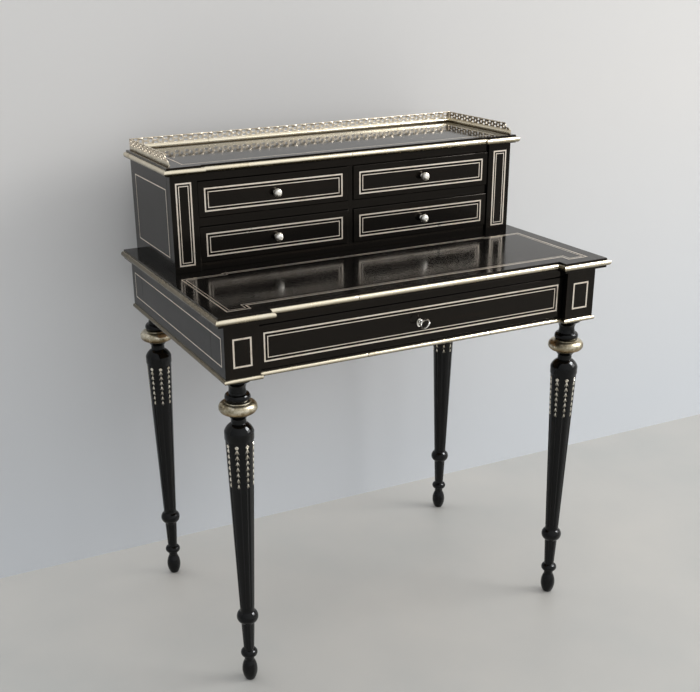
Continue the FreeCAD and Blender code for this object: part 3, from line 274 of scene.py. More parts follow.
def planed_oak():
    """Oak planed and waxed: warm brown with darker streaks along the boards."""
    material, tree = new_material("planed_oak")
    along = object_place(tree, (1.0, 0.06, 1.0))
    streaks = add_node(tree, "ShaderNodeTexNoise",
                       {"Vector": along, "Scale": per_mm(6.0), "Detail": 7.0, "Roughness": 0.65})
    colour = add_node(tree, "ShaderNodeValToRGB", {"Fac": streaks.outputs["Fac"]},
                      stops=[(0.28, "#6f4f31"), (0.5, "#94704a"), (0.74, "#ab8860")])
    pores = add_node(tree, "ShaderNodeBump", {"Height": streaks.outputs["Fac"],
                                              "Strength": 1.0, "Distance": 0.08 * MM})
    shader = add_node(tree, "ShaderNodeBsdfPrincipled", {
        "Base Color": colour.outputs["Color"], "Roughness": 0.5, "Normal": pores.outputs[0]})
    finish_material(tree, shader)
    return material


def aged_metal(name, tones, spot, rough, dent, dent_size, under="#ffffff", ends=0.0):
    """Metal with a clean tone and two darker ones that spread in spots of a given size. Rough is
    its smallest and largest roughness, dent the depth of its small unevenness, and under the
    tint of painted shade multiplied onto faces that look down. Ends is how much of that painted
    shade lies on faces that look along X, such as the end runs of a moulding."""
    material, tree = new_material(name)
    place = object_place(tree)
    spots = add_node(tree, "ShaderNodeTexNoise",
                     {"Vector": place, "Scale": per_mm(spot), "Detail": 6.0, "Roughness": 0.68})
    colour = add_node(tree, "ShaderNodeValToRGB", {"Fac": spots.outputs["Fac"]}, stops=tones)
    dull = add_node(tree, "ShaderNodeMapRange", {"Value": spots.outputs["Fac"], "From Min": 0.3,
                                                 "From Max": 0.7, "To Min": rough[1],
                                                 "To Max": rough[0]})
    way = add_node(tree, "ShaderNodeNewGeometry").outputs["Normal"]
    facing = add_node(tree, "ShaderNodeSeparateXYZ", {0: way})
    # faces that look down, and those that look along X, take the under tint: painted shade
    below = add_node(tree, "ShaderNodeMapRange", {"Value": facing.outputs["Z"],
                                                  "From Min": 0.15, "From Max": -0.6})
    sideways = add_node(tree, "ShaderNodeMath", {0: facing.outputs["X"]}, operation="ABSOLUTE")
    shade_at_end = add_node(tree, "ShaderNodeMapRange", {"Value": sideways.outputs[0],
                                                   "From Min": 0.15, "From Max": 0.4,
                                                   "To Max": ends})
    painted_shade = add_node(tree, "ShaderNodeMath", {0: below.outputs[0], 1: shade_at_end.outputs[0]},
                        operation="MAXIMUM")
    shaded_colour = add_node(tree, "ShaderNodeMixRGB", {"Fac": painted_shade.outputs[0],
                                                 "Color1": colour.outputs["Color"],
                                                 "Color2": linear(under)},
                      blend_type="MULTIPLY")
    uneven = add_node(tree, "ShaderNodeTexNoise",
                      {"Vector": place, "Scale": per_mm(dent_size), "Detail": 3.0})
    bump = add_node(tree, "ShaderNodeBump", {"Height": uneven.outputs["Fac"], "Strength": 1.0,
                                             "Distance": dent * MM})
    shader = add_node(tree, "ShaderNodeBsdfPrincipled", {
        "Base Color": shaded_colour.outputs["Color"], "Metallic": 1.0, "Roughness": dull.outputs[0],
        "Normal": bump.outputs[0]})
    finish_material(tree, shader)
    return material


BLACK_ALONG_X = french_polished_black("french_polished_black_x", (0.05, 1.0, 1.0))
BLACK_ALONG_Y = french_polished_black("french_polished_black_y", (1.0, 0.05, 1.0))
BLACK_ALONG_Z = french_polished_black("french_polished_black_z", (1.0, 1.0, 0.05))
# a clearer polish on the cabinet's top, which mirrors the gallery
BLACK_CABINET_TOP = french_polished_black("french_polished_black_top", (0.05, 1.0, 1.0), 0.1)
# legs polished on the lathe: a neutral black, glossier than the boards
BLACK_TURNED = french_polished_black("french_polished_black_turned", (1.0, 1.0, 0.05), 0.07,
                                     "#0a0a0b", "#eef1f4", 1.33)
OAK = planed_oak()
# sheet brass scraped flush with the veneer: pale champagne, with slightly greyer stretches
BRASS_LINE = aged_metal("scraped_brass_line", [(0.3, "#c9beb0"), (0.45, "#ebdfd0"),
                                               (0.7, "#f9f2e6")], 22.0, (0.25, 0.45), 0.02, 3.0)
# pressed and lacquered brass: smooth pale champagne, a little browner in places, with
# grey-brown painted shade on the undersides and the end runs
MOULDING_TONES = [(0.24, "#a09378"), (0.4, "#dfd4bb"), (0.7, "#efe7d3")]
MOULDING_BRASS = aged_metal("lacquered_brass_moulding", MOULDING_TONES, 40.0, (0.18, 0.32), 0.04,
                            14.0, "#6b655a", 0.9)
# the same for the cabinet's top and gallery band, with lighter painted shade, little at the ends
LIGHT_SHADE_BRASS = aged_metal("brass_moulding_lighter_painted_shade", MOULDING_TONES, 40.0, (0.18, 0.32), 0.04,
                           14.0, "#75705f", 0.25)
# cast brass sheet dulled by age: pale matt gold, greyer in small spots that the trellis keeps
PATINATED_BRASS = aged_metal("patinated_cast_brass", [(0.3, "#918575"), (0.5, "#dcd0bc"),
                                                      (0.72, "#f3eada")], 7.0, (0.34, 0.5), 0.1,
                             3.0)
# the right strip's trellis, backlit: the same brass made darker and browner as painted shade
SHADED_TRELLIS_BRASS = aged_metal("cast_brass_painted_shade", [(0.3, "#51483c"), (0.5, "#8f8370"),
                                                  (0.72, "#b9ac97")], 7.0, (0.34, 0.5), 0.1, 3.0)
# a dark brown bar set in the hollow beneath the gallery's ledge: painted shade
HOLLOW_SHADE_BRASS = aged_metal("brass_hollow_painted_shade", [(0.3, "#43372a"), (0.5, "#6d5e47"),
                                                    (0.72, "#8e7d60")], 9.0, (0.45, 0.6), 0.1,
                           3.0)
# fire-gilt cast brass: silvery gold where it is rubbed, grey-brown patina over the rest
# its undersides take a warm darker tint: painted shade
GILT = aged_metal("gilt_cast_brass", [(0.32, "#5b5140"), (0.46, "#a99f87"), (0.64, "#e6dfcc")],
                  20.0, (0.18, 0.42), 0.1, 7.0, "#a8916c")
# the small relief in the flutes, whose petals are rubbed to a silvery gold and stay dark between
HUSK_GILT = aged_metal("rubbed_gilt_relief", [(0.3, "#8f8670"), (0.45, "#ddd6c6"),
                                              (0.62, "#f7f3e8")], 6.0, (0.16, 0.34), 0.05, 3.0)
# brass of the knobs and the key plate, buffed pale by fingers: a silvery sheen
KNOB_BRASS = aged_metal("buffed_turned_brass", [(0.28, "#c4beae"), (0.42, "#f0ece2"),
                                                (0.7, "#fbf9f4")], 12.0, (0.36, 0.48), 0.04, 3.0)
# the lock's sheet brass, filed and left plain: a deeper yellow, dulled in small spots
LOCK_BRASS = aged_metal("filed_lock_brass", [(0.3, "#8a6d38"), (0.5, "#bf9f60"),
                                             (0.7, "#d2b678")], 10.0, (0.3, 0.5), 0.04, 1.5)
# forged steel worn bright by handling, grey-brown where it isn't
STEEL = aged_metal("worn_forged_steel", [(0.3, "#a29d95"), (0.5, "#dedad4"), (0.7, "#f6f4f0")],
                   8.0, (0.12, 0.3), 0.05, 2.0)
BLACKS = (BLACK_ALONG_X, BLACK_ALONG_Y, BLACK_ALONG_Z)


# ---- mesh tools --------------------------------------------------------------------------
def new_piece(name, mesh, material, body, slot, *nodes):
    """Puts a finished mesh in the scene, on its body, in place of CAD nodes."""
    mesh.materials.append(material)
    made = bpy.data.objects.new(name, mesh)
    bpy.context.scene.collection.objects.link(made)
    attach(made, body)
    if nodes:
        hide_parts(*nodes)
    return made


def close_mesh(name, points, faces, smooth_below=40.0):
    """Mesh in metres from points in millimetres, its faces outwards, smooth but for edges."""
    mesh = bpy.data.meshes.new(name)
    mesh.from_pydata([Vector(p) * MM for p in points], [], faces)
    shape = bmesh.new()
    shape.from_mesh(mesh)
    bmesh.ops.recalc_face_normals(shape, faces=shape.faces)
    for face in shape.faces:
        face.smooth = True
    shape.to_mesh(mesh)
    shape.free()
    mesh.set_sharp_from_angle(angle=math.radians(smooth_below))
    return mesh


def skin(rows, joined=False):
    """Points and faces of a skin over rows of points: each row closes on itself. Joined rows
    close into a ring; others are capped at both ends."""
    width = len(rows[0])
    points = [p for row in rows for p in row]
    faces = []
    for i in range(len(rows) if joined else len(rows) - 1):
        a = i * width
        b = (i + 1) % len(rows) * width
        for j in range(width):
            k = (j + 1) % width
            faces.append((a + j, a + k, b + k, b + j))
    if not joined:
        faces.append(tuple(range(width)))
        faces.append(tuple(range(len(points) - width, len(points))))
    return points, faces


def arc(start, through, end, steps):
    """Points of an arc of a circle after its start, through a middle point, to its end."""
    (x1, y1), (x2, y2), (x3, y3) = start, through, end
    twice = 2 * (x1 * (y2 - y3) + x2 * (y3 - y1) + x3 * (y1 - y2))
    s1, s2, s3 = x1 * x1 + y1 * y1, x2 * x2 + y2 * y2, x3 * x3 + y3 * y3
    cx = (s1 * (y2 - y3) + s2 * (y3 - y1) + s3 * (y1 - y2)) / twice
    cy = (s1 * (x3 - x2) + s2 * (x1 - x3) + s3 * (x2 - x1)) / twice
    radius = math.hypot(x1 - cx, y1 - cy)
    first = math.atan2(y1 - cy, x1 - cx)
    middle = (math.atan2(y2 - cy, x2 - cx) - first) % math.tau
    sweep = (math.atan2(y3 - cy, x3 - cx) - first) % math.tau
    if middle > sweep:
        sweep -= math.tau
    angles = [first + sweep * i / steps for i in range(1, steps + 1)]
    return [(cx + radius * math.cos(a), cy + radius * math.sin(a)) for a in angles]


def eased(line, ease):
    """The same open line with each sharp corner worn round."""
    line = [Vector(p) for p in line]
    out = [line[0]]
    for before, here, after in zip(line, line[1:], line[2:]):
        incoming = here - before
        outgoing = after - here
        if incoming.angle(outgoing) < math.radians(18):
            out.append(here)
            continue
        reach = min(ease, incoming.length / 2.1, outgoing.length / 2.1)
        a = here - incoming.normalized() * reach
        b = here + outgoing.normalized() * reach
        out += [a, (a + 2 * here + b) / 4, b]
    out.append(line[-1])
    return out


def lathe_rows(profile, steps):
    """Rows of points for a profile of (radius, height) turned about the Z axis."""
    turn = [(math.cos(math.tau * i / steps), math.sin(math.tau * i / steps))
            for i in range(steps)]
    return [[(r * c, r * s, z) for c, s in turn] for r, z in profile]


def moved(points, matrix):
    """Points after a matrix."""
    return [tuple(matrix @ Vector(p)) for p in points]


def joined_parts(parts):
    """One list of points and one of faces from several pairs of them."""
    points, faces = [], []
    for some, ends in parts:
        base = len(points)
        points += some
        faces += [tuple(i + base for i in face) for face in ends]
    return points, faces


# ---- boards: veneered, their edges eased by wear -------------------------------------------
BOARD_EASE = 0.5
SMALL_DRAWERS = ["small_drawer_upper_left", "small_drawer_upper_right",
                 "small_drawer_lower_left", "small_drawer_lower_right"]
X_BOARDS = ["table_top", "cabinet_top", "front_rail_upper", "front_rail_lower", "apron_back",
            "cabinet_back", "cabinet_floor", "cabinet_shelves", "cabinet_rail_upper",
            "long_drawer_front"] + [drawer + "_front" for drawer in SMALL_DRAWERS]
Y_BOARDS = ["apron_left", "apron_right", "cabinet_side_left", "cabinet_side_right"]
Z_BOARDS = ["corner_post_front_left", "corner_post_front_right", "corner_post_back_left",
            "corner_post_back_right", "pilaster_left", "pilaster_right", "cabinet_divider"]
LINES = ["frame_stringing", "table_top_stringing", "cabinet_stringing",
         "long_drawer_stringing"] + [drawer + "_stringing" for drawer in SMALL_DRAWERS]


def body_of_node(node):
    """Name of the body that carries a CAD node."""
    return frame["nodes"][node]["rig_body"]


def line_corners():
    """Corner points of all the brass lines, to know the edges of the grooves they lie in."""
    corners = [v.co for name in LINES for v in frame["nodes"][name].data.vertices]
    tree = kdtree.KDTree(len(corners))
    for i, corner in enumerate(corners):
        tree.insert(corner, i)
    tree.balance()
    return tree


def eased_board(node, material, grooves):
    """A board with its outer edges worn slightly round and its grooves left crisp."""
    shape = bmesh.new()
    shape.from_mesh(frame["nodes"][node].data)
    bmesh.ops.remove_doubles(shape, verts=shape.verts, dist=0.001 * MM)
    bmesh.ops.dissolve_limit(shape, angle_limit=math.radians(1.0), verts=shape.verts,
                             edges=shape.edges)
    in_groove = {v: grooves.find(v.co)[2] < 0.3 * MM for v in shape.verts}
    edges = [e for e in shape.edges
             if e.is_manifold and e.calc_face_angle_signed() > math.radians(40)
             and not (in_groove[e.verts[0]] and in_groove[e.verts[1]])]
    bmesh.ops.bevel(shape, geom=edges, offset=BOARD_EASE * MM, offset_type="OFFSET",
                    segments=2, profile=0.5, affect="EDGES", clamp_overlap=True)
    mesh = bpy.data.meshes.new("veneered_" + node)
    shape.to_mesh(mesh)
    shape.free()
    new_piece("veneered_" + node, mesh, material, body_of_node(node), "ebonised_wood", node)


def add_boards():
    """All the veneered boards."""
    grooves = line_corners()
    for nodes, material in zip((X_BOARDS, Y_BOARDS, Z_BOARDS), BLACKS):
        for node in nodes:
            eased_board(node, BLACK_CABINET_TOP if node == "cabinet_top" else material, grooves)


def finish_carried_nodes():
    """Finishes for the CAD nodes that stay: brass lines, oak boards, lock and bolt."""
    finishes = {name: BRASS_LINE for name in LINES}
    for name in frame["nodes"]:
        if name.endswith("_box") or name in ("drawer_runners", "cabinet_drawer_guides",
                                             "long_drawer_bottom"):
            finishes[name] = OAK
    finishes["lock_case"] = LOCK_BRASS
    finishes["lock_bolt"] = STEEL
    for name, piece in frame["nodes"].items():
        piece.data.materials.clear()
        piece.data.materials.append(finishes.get(name, BLACK_ALONG_X))


# ---- legs --------------------------------------------------------------------------------
LEG_HEIGHT = 617.5
# how far round each leg is screwed, in degrees
LEG_TURNS = {"front_left": 34.0, "front_right": 20.0, "back_left": 12.0, "back_right": 27.0}
LEG_X = 348.0
LEG_FRONT_Y = -213.75
LEG_BACK_Y = 231.75
FLUTES = 8
TAPER_LOW = (13.5, 157.0)          # radius, height
TAPER_HIGH = (25.3, 503.0)
TAPER_RISE = (TAPER_HIGH[0] - TAPER_LOW[0]) / (TAPER_HIGH[1] - TAPER_LOW[1])
SHIN_LOW = (9.9, 67.0)
SHIN_HIGH = (12.6, 126.5)


def leg_profile():
    """Turning of a leg from the floor up, as (radius, height)."""
    line = [(7.4, 0.0), (9.2, 1.0)]
    line += arc((9.2, 1.0), (14.5, 18.0), (9.2, 43.0), 20)
    line += [(9.9, 51.0)]
    line += arc((9.9, 51.0), (16.0, 59.0), (9.9, 67.0), 12)
    line += [SHIN_HIGH]
    line += arc(SHIN_HIGH, (20.4, 139.0), (14.0, 151.5), 16)
    line += [TAPER_LOW, TAPER_HIGH, (26.5, 503.0)]
    line += [(26.5, 517.0), (26.0, 518.4)]
    line += arc((26.0, 518.4), (20.8, 526.7), (13.6, 532.4), 10)
    line += [(13.6, 541.0), (20.0, 549.5), (20.0, 574.5)]
    line += arc((20.0, 574.5), (22.9, 581.0), (20.0, 587.0), 8)
    line += [(15.6, 587.0), (15.6, 592.0)]
    line += arc((15.6, 592.0), (17.0, 604.5), (25.5, 611.5), 10)
    line += [(25.5, LEG_HEIGHT)]
    return line


def with_rows_between(line, low, high, step):
    """The line with more points on the straight run between two of its points."""
    out = []
    for here, after in zip(line, line[1:]):
        out.append(here)
        if (here - low).length < 4 and (after - high).length < 4:
            count = round((after - here).length / step)
            out += [here.lerp(after, i / count) for i in range(1, count)]
    out.append(line[-1])
    return out


def flute_end(surface, width, depth):
    """Distance from the axis and radius of the round cutter that leaves a flute this wide."""
    radius = (width * width / 4 + depth * depth) / (2 * depth)
    return surface + radius - depth, radius


def flute_runs():
    """Each run of flutes: its lower and upper height with the cutter's place there."""
    return [
        (TAPER_LOW[1] + 7.0, flute_end(TAPER_LOW[0] + TAPER_RISE * 7.0, 5.0, 1.2),
         TAPER_HIGH[1] - 8.0, flute_end(TAPER_HIGH[0] - TAPER_RISE * 8.0, 9.4, 2.0)),
        (SHIN_LOW[1] + 4.0, flute_end(SHIN_LOW[0] + 0.2, 3.6, 0.6),
         SHIN_HIGH[1] - 4.0, flute_end(SHIN_HIGH[0] - 0.2, 5.0, 0.6)),
    ]


def cutter_at(height, runs):
    """Distance and radius of the flute cutter at a height, or None between the runs."""
    for low, (low_place, low_radius), high, (high_place, high_radius) in runs:
        share = min(max((height - low) / (high - low), 0.0), 1.0)
        place = low_place + share * (high_place - low_place)
        radius = low_radius + share * (high_radius - low_radius)
        over = max(low - height, height - high, 0.0)
        if over < radius:
            return place, math.sqrt(radius * radius - over * over)
    return None


def leg_row(radius, height, runs):
    """One ring of points round a fluted leg, with points on both edges of every flute."""
    sector = math.tau / FLUTES
    cut = cutter_at(height, runs)
    edge = 0.0
    if cut:
        place, size = cut
        cosine = (radius ** 2 + place ** 2 - size ** 2) / (2 * radius * place)
        edge = math.acos(min(cosine, 1.0))
    half = max(edge, 0.07)
    row = []
    for i in range(FLUTES):
        turns = [half * (u / 5) for u in range(-5, 6)]
        turns += [half + (sector - 2 * half) * v / 4 for v in (1, 2, 3)]
        for turn in turns:
            r = radius
            if edge and abs(turn) < edge:
                reach = cut[1] ** 2 - (cut[0] * math.sin(turn)) ** 2
                r = min(r, cut[0] * math.cos(turn) - math.sqrt(max(reach, 0.0)))
            angle = sector * i + turn
            row.append((r * math.cos(angle), r * math.sin(angle), height))
    return row


def leg_places():
    """Name, place and turn of each leg."""
    for name, turn in LEG_TURNS.items():
        x = -LEG_X if name.endswith("left") else LEG_X
        y = LEG_FRONT_Y if name.startswith("front") else LEG_BACK_Y
        yield name, Matrix.Translation((x, y, 0)) @ Matrix.Rotation(math.radians(-90 - turn),
                                                                   4, "Z")


def add_legs():
    """Four turned, fluted legs."""
    line = eased(leg_profile(), 0.6)
    line = with_rows_between(line, Vector(TAPER_LOW), Vector(TAPER_HIGH), 1.6)
    line = with_rows_between(line, Vector(SHIN_LOW), Vector(SHIN_HIGH), 1.2)
    runs = flute_runs()
    points, faces = skin([leg_row(r, z, runs) for r, z in line])
    for name, place in leg_places():
        mesh = close_mesh("turned_leg_" + name, moved(points, place), faces, 32.0)
        new_piece("turned_leg_" + name, mesh, BLACK_TURNED, "desk", "ebonised_wood",
                  "leg_" + name)


def add_leg_rings():
    """Gilt ring at the top of each leg: a fat half-round with a fillet at each edge."""
    low, high, middle = 550.0, 574.0, 562.0
    line = [(20.1, low), (22.0, low), (23.4, low + 0.5), (23.8, low + 1.6)]
    line += arc((23.8, low + 1.6), (34.0, middle), (23.8, high - 1.6), 22)
    line += [(23.4, high - 0.5), (22.0, high), (20.1, high)]
    rows = lathe_rows(line, 96)
    points, faces = skin(rows, joined=True)
    for name, place in leg_places():
        mesh = close_mesh("gilt_ring_" + name, moved(points, place), faces, 50.0)
        new_piece("gilt_ring_" + name, mesh, GILT, "desk", "gilt_brass", "leg_rings")


# ---- husks in the flutes -----------------------------------------------------------------
HUSKS = 7
HUSK_TOP = 497.0
HUSK_CHAIN = 86.0


def leaf(top, tip, half, swell):
    """One leaf in low relief, from its top to its tip, each an (across, height) place."""
    rows = []
    for j in range(8):
        v = 0.03 + 0.94 * j / 7
        width = half * math.sin(math.pi * v ** 0.8) ** 0.8 + 0.12
        across = top[0] + (tip[0] - top[0]) * v
        height = top[1] + (tip[1] - top[1]) * v
        row = [(-1.3, across + width, height), (-1.3, across - width, height)]
        for u in (-0.8, -0.35, 0.0, 0.35, 0.8):
            row.append((-1.0 + swell * math.sin(math.pi * v) * math.sqrt(1 - u * u),
                        across + width * u, height))
        rows.append(row)
    return skin(rows)


def husk(top, length, half):
    """One bellflower: a middle petal and two that spread downwards, clear of each other."""
    parts = [leaf((0.0, top), (0.0, top - 0.94 * length), 0.2 * half, 1.5)]
    for way in (1, -1):
        parts.append(leaf((way * 0.1 * half, top - 0.08 * length),
                          (way * half, top - 0.82 * length), 0.19 * half, 1.3))
    return parts


def rosette(middle, half):
    """Five-petalled open flower at the head of a chain, as a closed low relief."""
    rows = []
    steps = 30
    for share, lift in ((1.0, -1.3), (1.0, -0.8), (0.86, 0.05), (0.64, 0.2), (0.44, -0.3),
                        (0.36, -1.1), (0.1, -1.15)):
        row = []
        for i in range(steps):
            angle = math.tau * i / steps
            petal = 1 - 0.2 * (share > 0.5) * (0.5 - 0.5 * math.cos(5 * angle))
            radius = half * share * petal
            row.append((lift, radius * math.sin(angle), middle + radius * math.cos(angle)))
        rows.append(row)
    return skin(rows)


def add_husks():
    """Chains of gilt husks, one in the top of every flute."""
    step = (HUSK_CHAIN - 8.0) / HUSKS
    parts = [rosette(HUSK_TOP - 3.9, 3.9)]
    for i in range(HUSKS):
        half = 3.9 - 1.5 * i / (HUSKS - 1)
        parts += husk(HUSK_TOP - 7.4 - i * step, step, half)
    points, faces = joined_parts(parts)
    on_leg = [(TAPER_HIGH[0] - TAPER_RISE * (TAPER_HIGH[1] - z) + out, across, z)
              for out, across, z in points]
    round_leg = []
    for i in range(FLUTES):
        turn = Matrix.Rotation(math.tau * i / FLUTES, 4, "Z")
        round_leg.append((moved(on_leg, turn), faces))
    points, faces = joined_parts(round_leg)
    for name, place in leg_places():
        mesh = close_mesh("husks_" + name, moved(points, place), faces, 55.0)
        new_piece("husks_" + name, mesh, HUSK_GILT, "desk", "gilt_brass", "leg_husks")


# ---- brass mouldings ---------------------------------------------------------------------
def breakfront(half, front, step, step_x, back):
    """Front and ends of a top whose middle stands back, open at the back, from the left."""
    right = [(step_x, front + step), (step_x, front), (half, front), (half, back)]
    return [(-x, y) for x, y in reversed(right)] + right


MOULDING_STEP = 9.0                # between rows of points
SEAM_HALF = 0.5
SEAM_DEPTH = 0.7
WAVER = 0.12                       # unevenness of the pressed brass


def swept(path, section, seams, seed):
    """A section of (outward, height) carried along a plan line with mitred corners. The brass
    wavers slightly along its run and shows a fine gap at each seam, given as the index of a run
    and a place along it."""
    corners = [Vector(p) for p in path]
    rows = []
    for i, (here, after) in enumerate(zip(corners, corners[1:])):
        run = after - here
        along = run.normalized()
        out = Vector((along.y, -along.x))
        mitres = []
        for spot, other in ((here, corners[i - 1] if i else None),
                            (after, corners[i + 2] if i + 2 < len(corners) else None)):
            if other is None:
                mitres.append(out)
                continue
            side = (spot - other).normalized() if spot is here else (other - spot).normalized()
            normal = Vector((side.y, -side.x))
            both = out + normal
            mitres.append(both / both.dot(out))
        count = max(round(run.length / MOULDING_STEP), 1)
        stops = [0.0, run.length] + [run.length * k / count for k in range(1, count)]
        own_seams = [place for index, place in seams if index == i]
        for place in own_seams:
            stops += [place - SEAM_HALF, place, place + SEAM_HALF]
        for stop in sorted(stops):
            direction = out
            if stop == 0.0:
                direction = mitres[0]
            elif stop == run.length:
                direction = mitres[1]
            spot = here + along * stop
            gap = SEAM_DEPTH if stop in own_seams else 0.0
            row = []
            for k, (reach, height) in enumerate(section):
                waver = 0.0
                if reach > 0.6:
                    sample = Vector((spot.x * 0.03, spot.y * 0.03, seed + k * 0.35))
                    waver = -WAVER - WAVER * noise.noise(sample) - gap
                point = spot + direction * (reach + waver)
                row.append((point.x, point.y, height))
            rows.append(row)
    return skin(rows)


def half_round(reach, half_height, middle):
    """Section of a smooth half-round moulding."""
    line = [(-0.4, middle - half_height), (0.2, middle - half_height)]
    line += arc(line[-1], (reach, middle), (0.2, middle + half_height), 16)
    line += [(-0.4, middle + half_height)]
    return line


def add_mouldings():
    """Nosings of the two tops and the bead at the foot of the frame."""
    runs = [
        ("table_top_moulding", breakfront(394.0, -259.75, 20.5, 298.5, 265.75),
         half_round(6.0, 5.0, 731.4), [(0, 262.0), (3, 171.0), (3, 431.0), (6, 240.0)], 1.0),
        ("cabinet_top_moulding", breakfront(372.8, 20.95, 5.5, 306.7, 265.75),
         half_round(6.2, 5.2, 926.8), [(3, 305.0)], 7.0),
        ("apron_bead", breakfront(380.0, -245.75, 12.0, 316.0, 265.75),
         half_round(4.0, 4.0, 621.5), [(3, 210.0), (3, 468.0)], 13.0),
    ]
    for node, path, section, seams, seed in runs:
        points, faces = swept(path, section, seams, seed)
        mesh = close_mesh("pressed_" + node, points, faces, 45.0)
        # the cabinet's nosing takes the copy with lighter painted shade
        brass = LIGHT_SHADE_BRASS if node == "cabinet_top_moulding" else MOULDING_BRASS
        new_piece("pressed_" + node, mesh, brass, "desk", "gilt_brass", node)


# ---- knobs, key and key plate ------------------------------------------------------------
KNOB_X = 159.5
KNOB_ROWS = {"upper": 871.7, "lower": 788.2}
DRAWER_FACE = 30.75
LONG_FACE = -233.75
LOCK_X = 0.0
KEY_Z = 668.1
KEY_TURN = 40.0                    # degrees from upright
BOW_REACH = 31.6
BOW_HALF_LONG = 12.5
BOW_HALF_WIDE = 10.3
BOW_HALF_RIM = 1.6
BIT_END_Y = LONG_FACE + 17.0
PLATE_HALF_X = 5.4
PLATE_HALF_Z = 7.6
PLATE_DROP = 3.0
PLATE_RIM = 0.7


def add_knobs():
    """Turned brass ball knobs on a short dark neck, slightly flattened at the end."""
    line = [(0.4, -1.0), (4.0, 0.0), (4.2, 0.3), (4.0, 0.8), (3.0, 1.6), (2.9, 4.28)]
    line += arc((2.9, 4.28), (8.0, 11.7), (4.6, 18.2), 22)
    line += [(3.4, 18.42), (1.8, 18.5), (0.4, 18.5)]
    points, faces = skin(lathe_rows(line, 48))
    for row, z in KNOB_ROWS.items():
        for side, x in (("left", -KNOB_X), ("right", KNOB_X)):
            name = "small_drawer_" + row + "_" + side
            place = Matrix.Translation((x, DRAWER_FACE, z)) @ Matrix.Rotation(math.pi / 2, 4,
                                                                             "X")
            mesh = close_mesh("turned_knob_" + row + "_" + side, moved(points, place), faces)
            new_piece("turned_knob_" + row + "_" + side, mesh, KNOB_BRASS, name, "gilt_brass",
                      name + "_knob")


def add_key():
    """Steel key: oval bow of round section, collared shank and a bit, part-turned."""
    bow_y = LONG_FACE - BOW_REACH + BOW_HALF_LONG
    long_half = BOW_HALF_LONG - BOW_HALF_RIM
    wide_half = BOW_HALF_WIDE - BOW_HALF_RIM
    ring = []
    for i in range(56):
        angle = math.tau * i / 56
        middle = Vector((0, bow_y + long_half * math.cos(angle), wide_half * math.sin(angle)))
        out = Vector((0, math.cos(angle) / long_half, math.sin(angle) / wide_half)).normalized()
        row = []
        for k in range(14):
            around = math.tau * k / 14
            row.append(tuple(middle + out * (BOW_HALF_RIM * math.cos(around))
                             + Vector((1.4 * math.sin(around), 0, 0))))
        ring.append(row)
    start = bow_y + long_half
    shank = [(2.0, 0.0), (2.6, 1.4), (3.0, 2.6), (4.2, 3.2), (4.6, 4.2), (4.4, 5.4),
             (3.2, 5.8), (2.8, 6.8), (3.0, 7.6), (3.0, 25.2), (2.6, 25.7)]
    points, faces = skin(lathe_rows(shank, 32))
    lay = Matrix.Translation((0, start, 0)) @ Matrix.Rotation(-math.pi / 2, 4, "X")
    bit = [[(x, y, z) for x, y in ((-0.9, BIT_END_Y - 4.8), (0.9, BIT_END_Y - 4.8),
                                   (0.9, BIT_END_Y), (-0.9, BIT_END_Y))]
           for z in (-7.3, -4.6, -1.0)]
    points, faces = joined_parts([skin(ring, joined=True), (moved(points, lay), faces),
                                  skin(bit)])
    place = Matrix.Translation((LOCK_X, 0, KEY_Z)) @ Matrix.Rotation(math.radians(KEY_TURN), 4,
                                                                     "Y")
    mesh = close_mesh("forged_key", moved(points, place), faces)
    new_piece("forged_key", mesh, STEEL, "key", "steel", "key")


def plate(name, outlines, thickness, ease):
    """Points and faces of a flat plate from closed outlines in its own plane, with the holes
    that lie inside the first, its edges eased. It lies in XY, thick along Z, both ways."""
    data = bpy.data.curves.new(name, "CURVE")
    data.dimensions = "2D"
    data.fill_mode = "BOTH"
    data.extrude = thickness / 2 - ease
    data.bevel_depth = ease
    data.bevel_resolution = 1
    data.offset = -ease
    for outline in outlines:
        spline = data.splines.new("POLY")
        spline.points.add(len(outline) - 1)
        for point, (x, y) in zip(spline.points, outline):
            point.co = (x, y, 0, 1)
        spline.use_cyclic_u = True
    holder = bpy.data.objects.new(name, data)
    bpy.context.scene.collection.objects.link(holder)
    depsgraph = bpy.context.evaluated_depsgraph_get()
    mesh = bpy.data.meshes.new_from_object(holder.evaluated_get(depsgraph))
    points = [tuple(v.co) for v in mesh.vertices]
    faces = [tuple(face.vertices) for face in mesh.polygons]
    bpy.data.objects.remove(holder)
    bpy.data.curves.remove(data)
    bpy.data.meshes.remove(mesh)
    return points, faces


def oval(x, y, half_x, half_y, steps):
    """Closed outline of an ellipse."""
    return [(x + half_x * math.cos(math.tau * i / steps),
             y + half_y * math.sin(math.tau * i / steps)) for i in range(steps)]


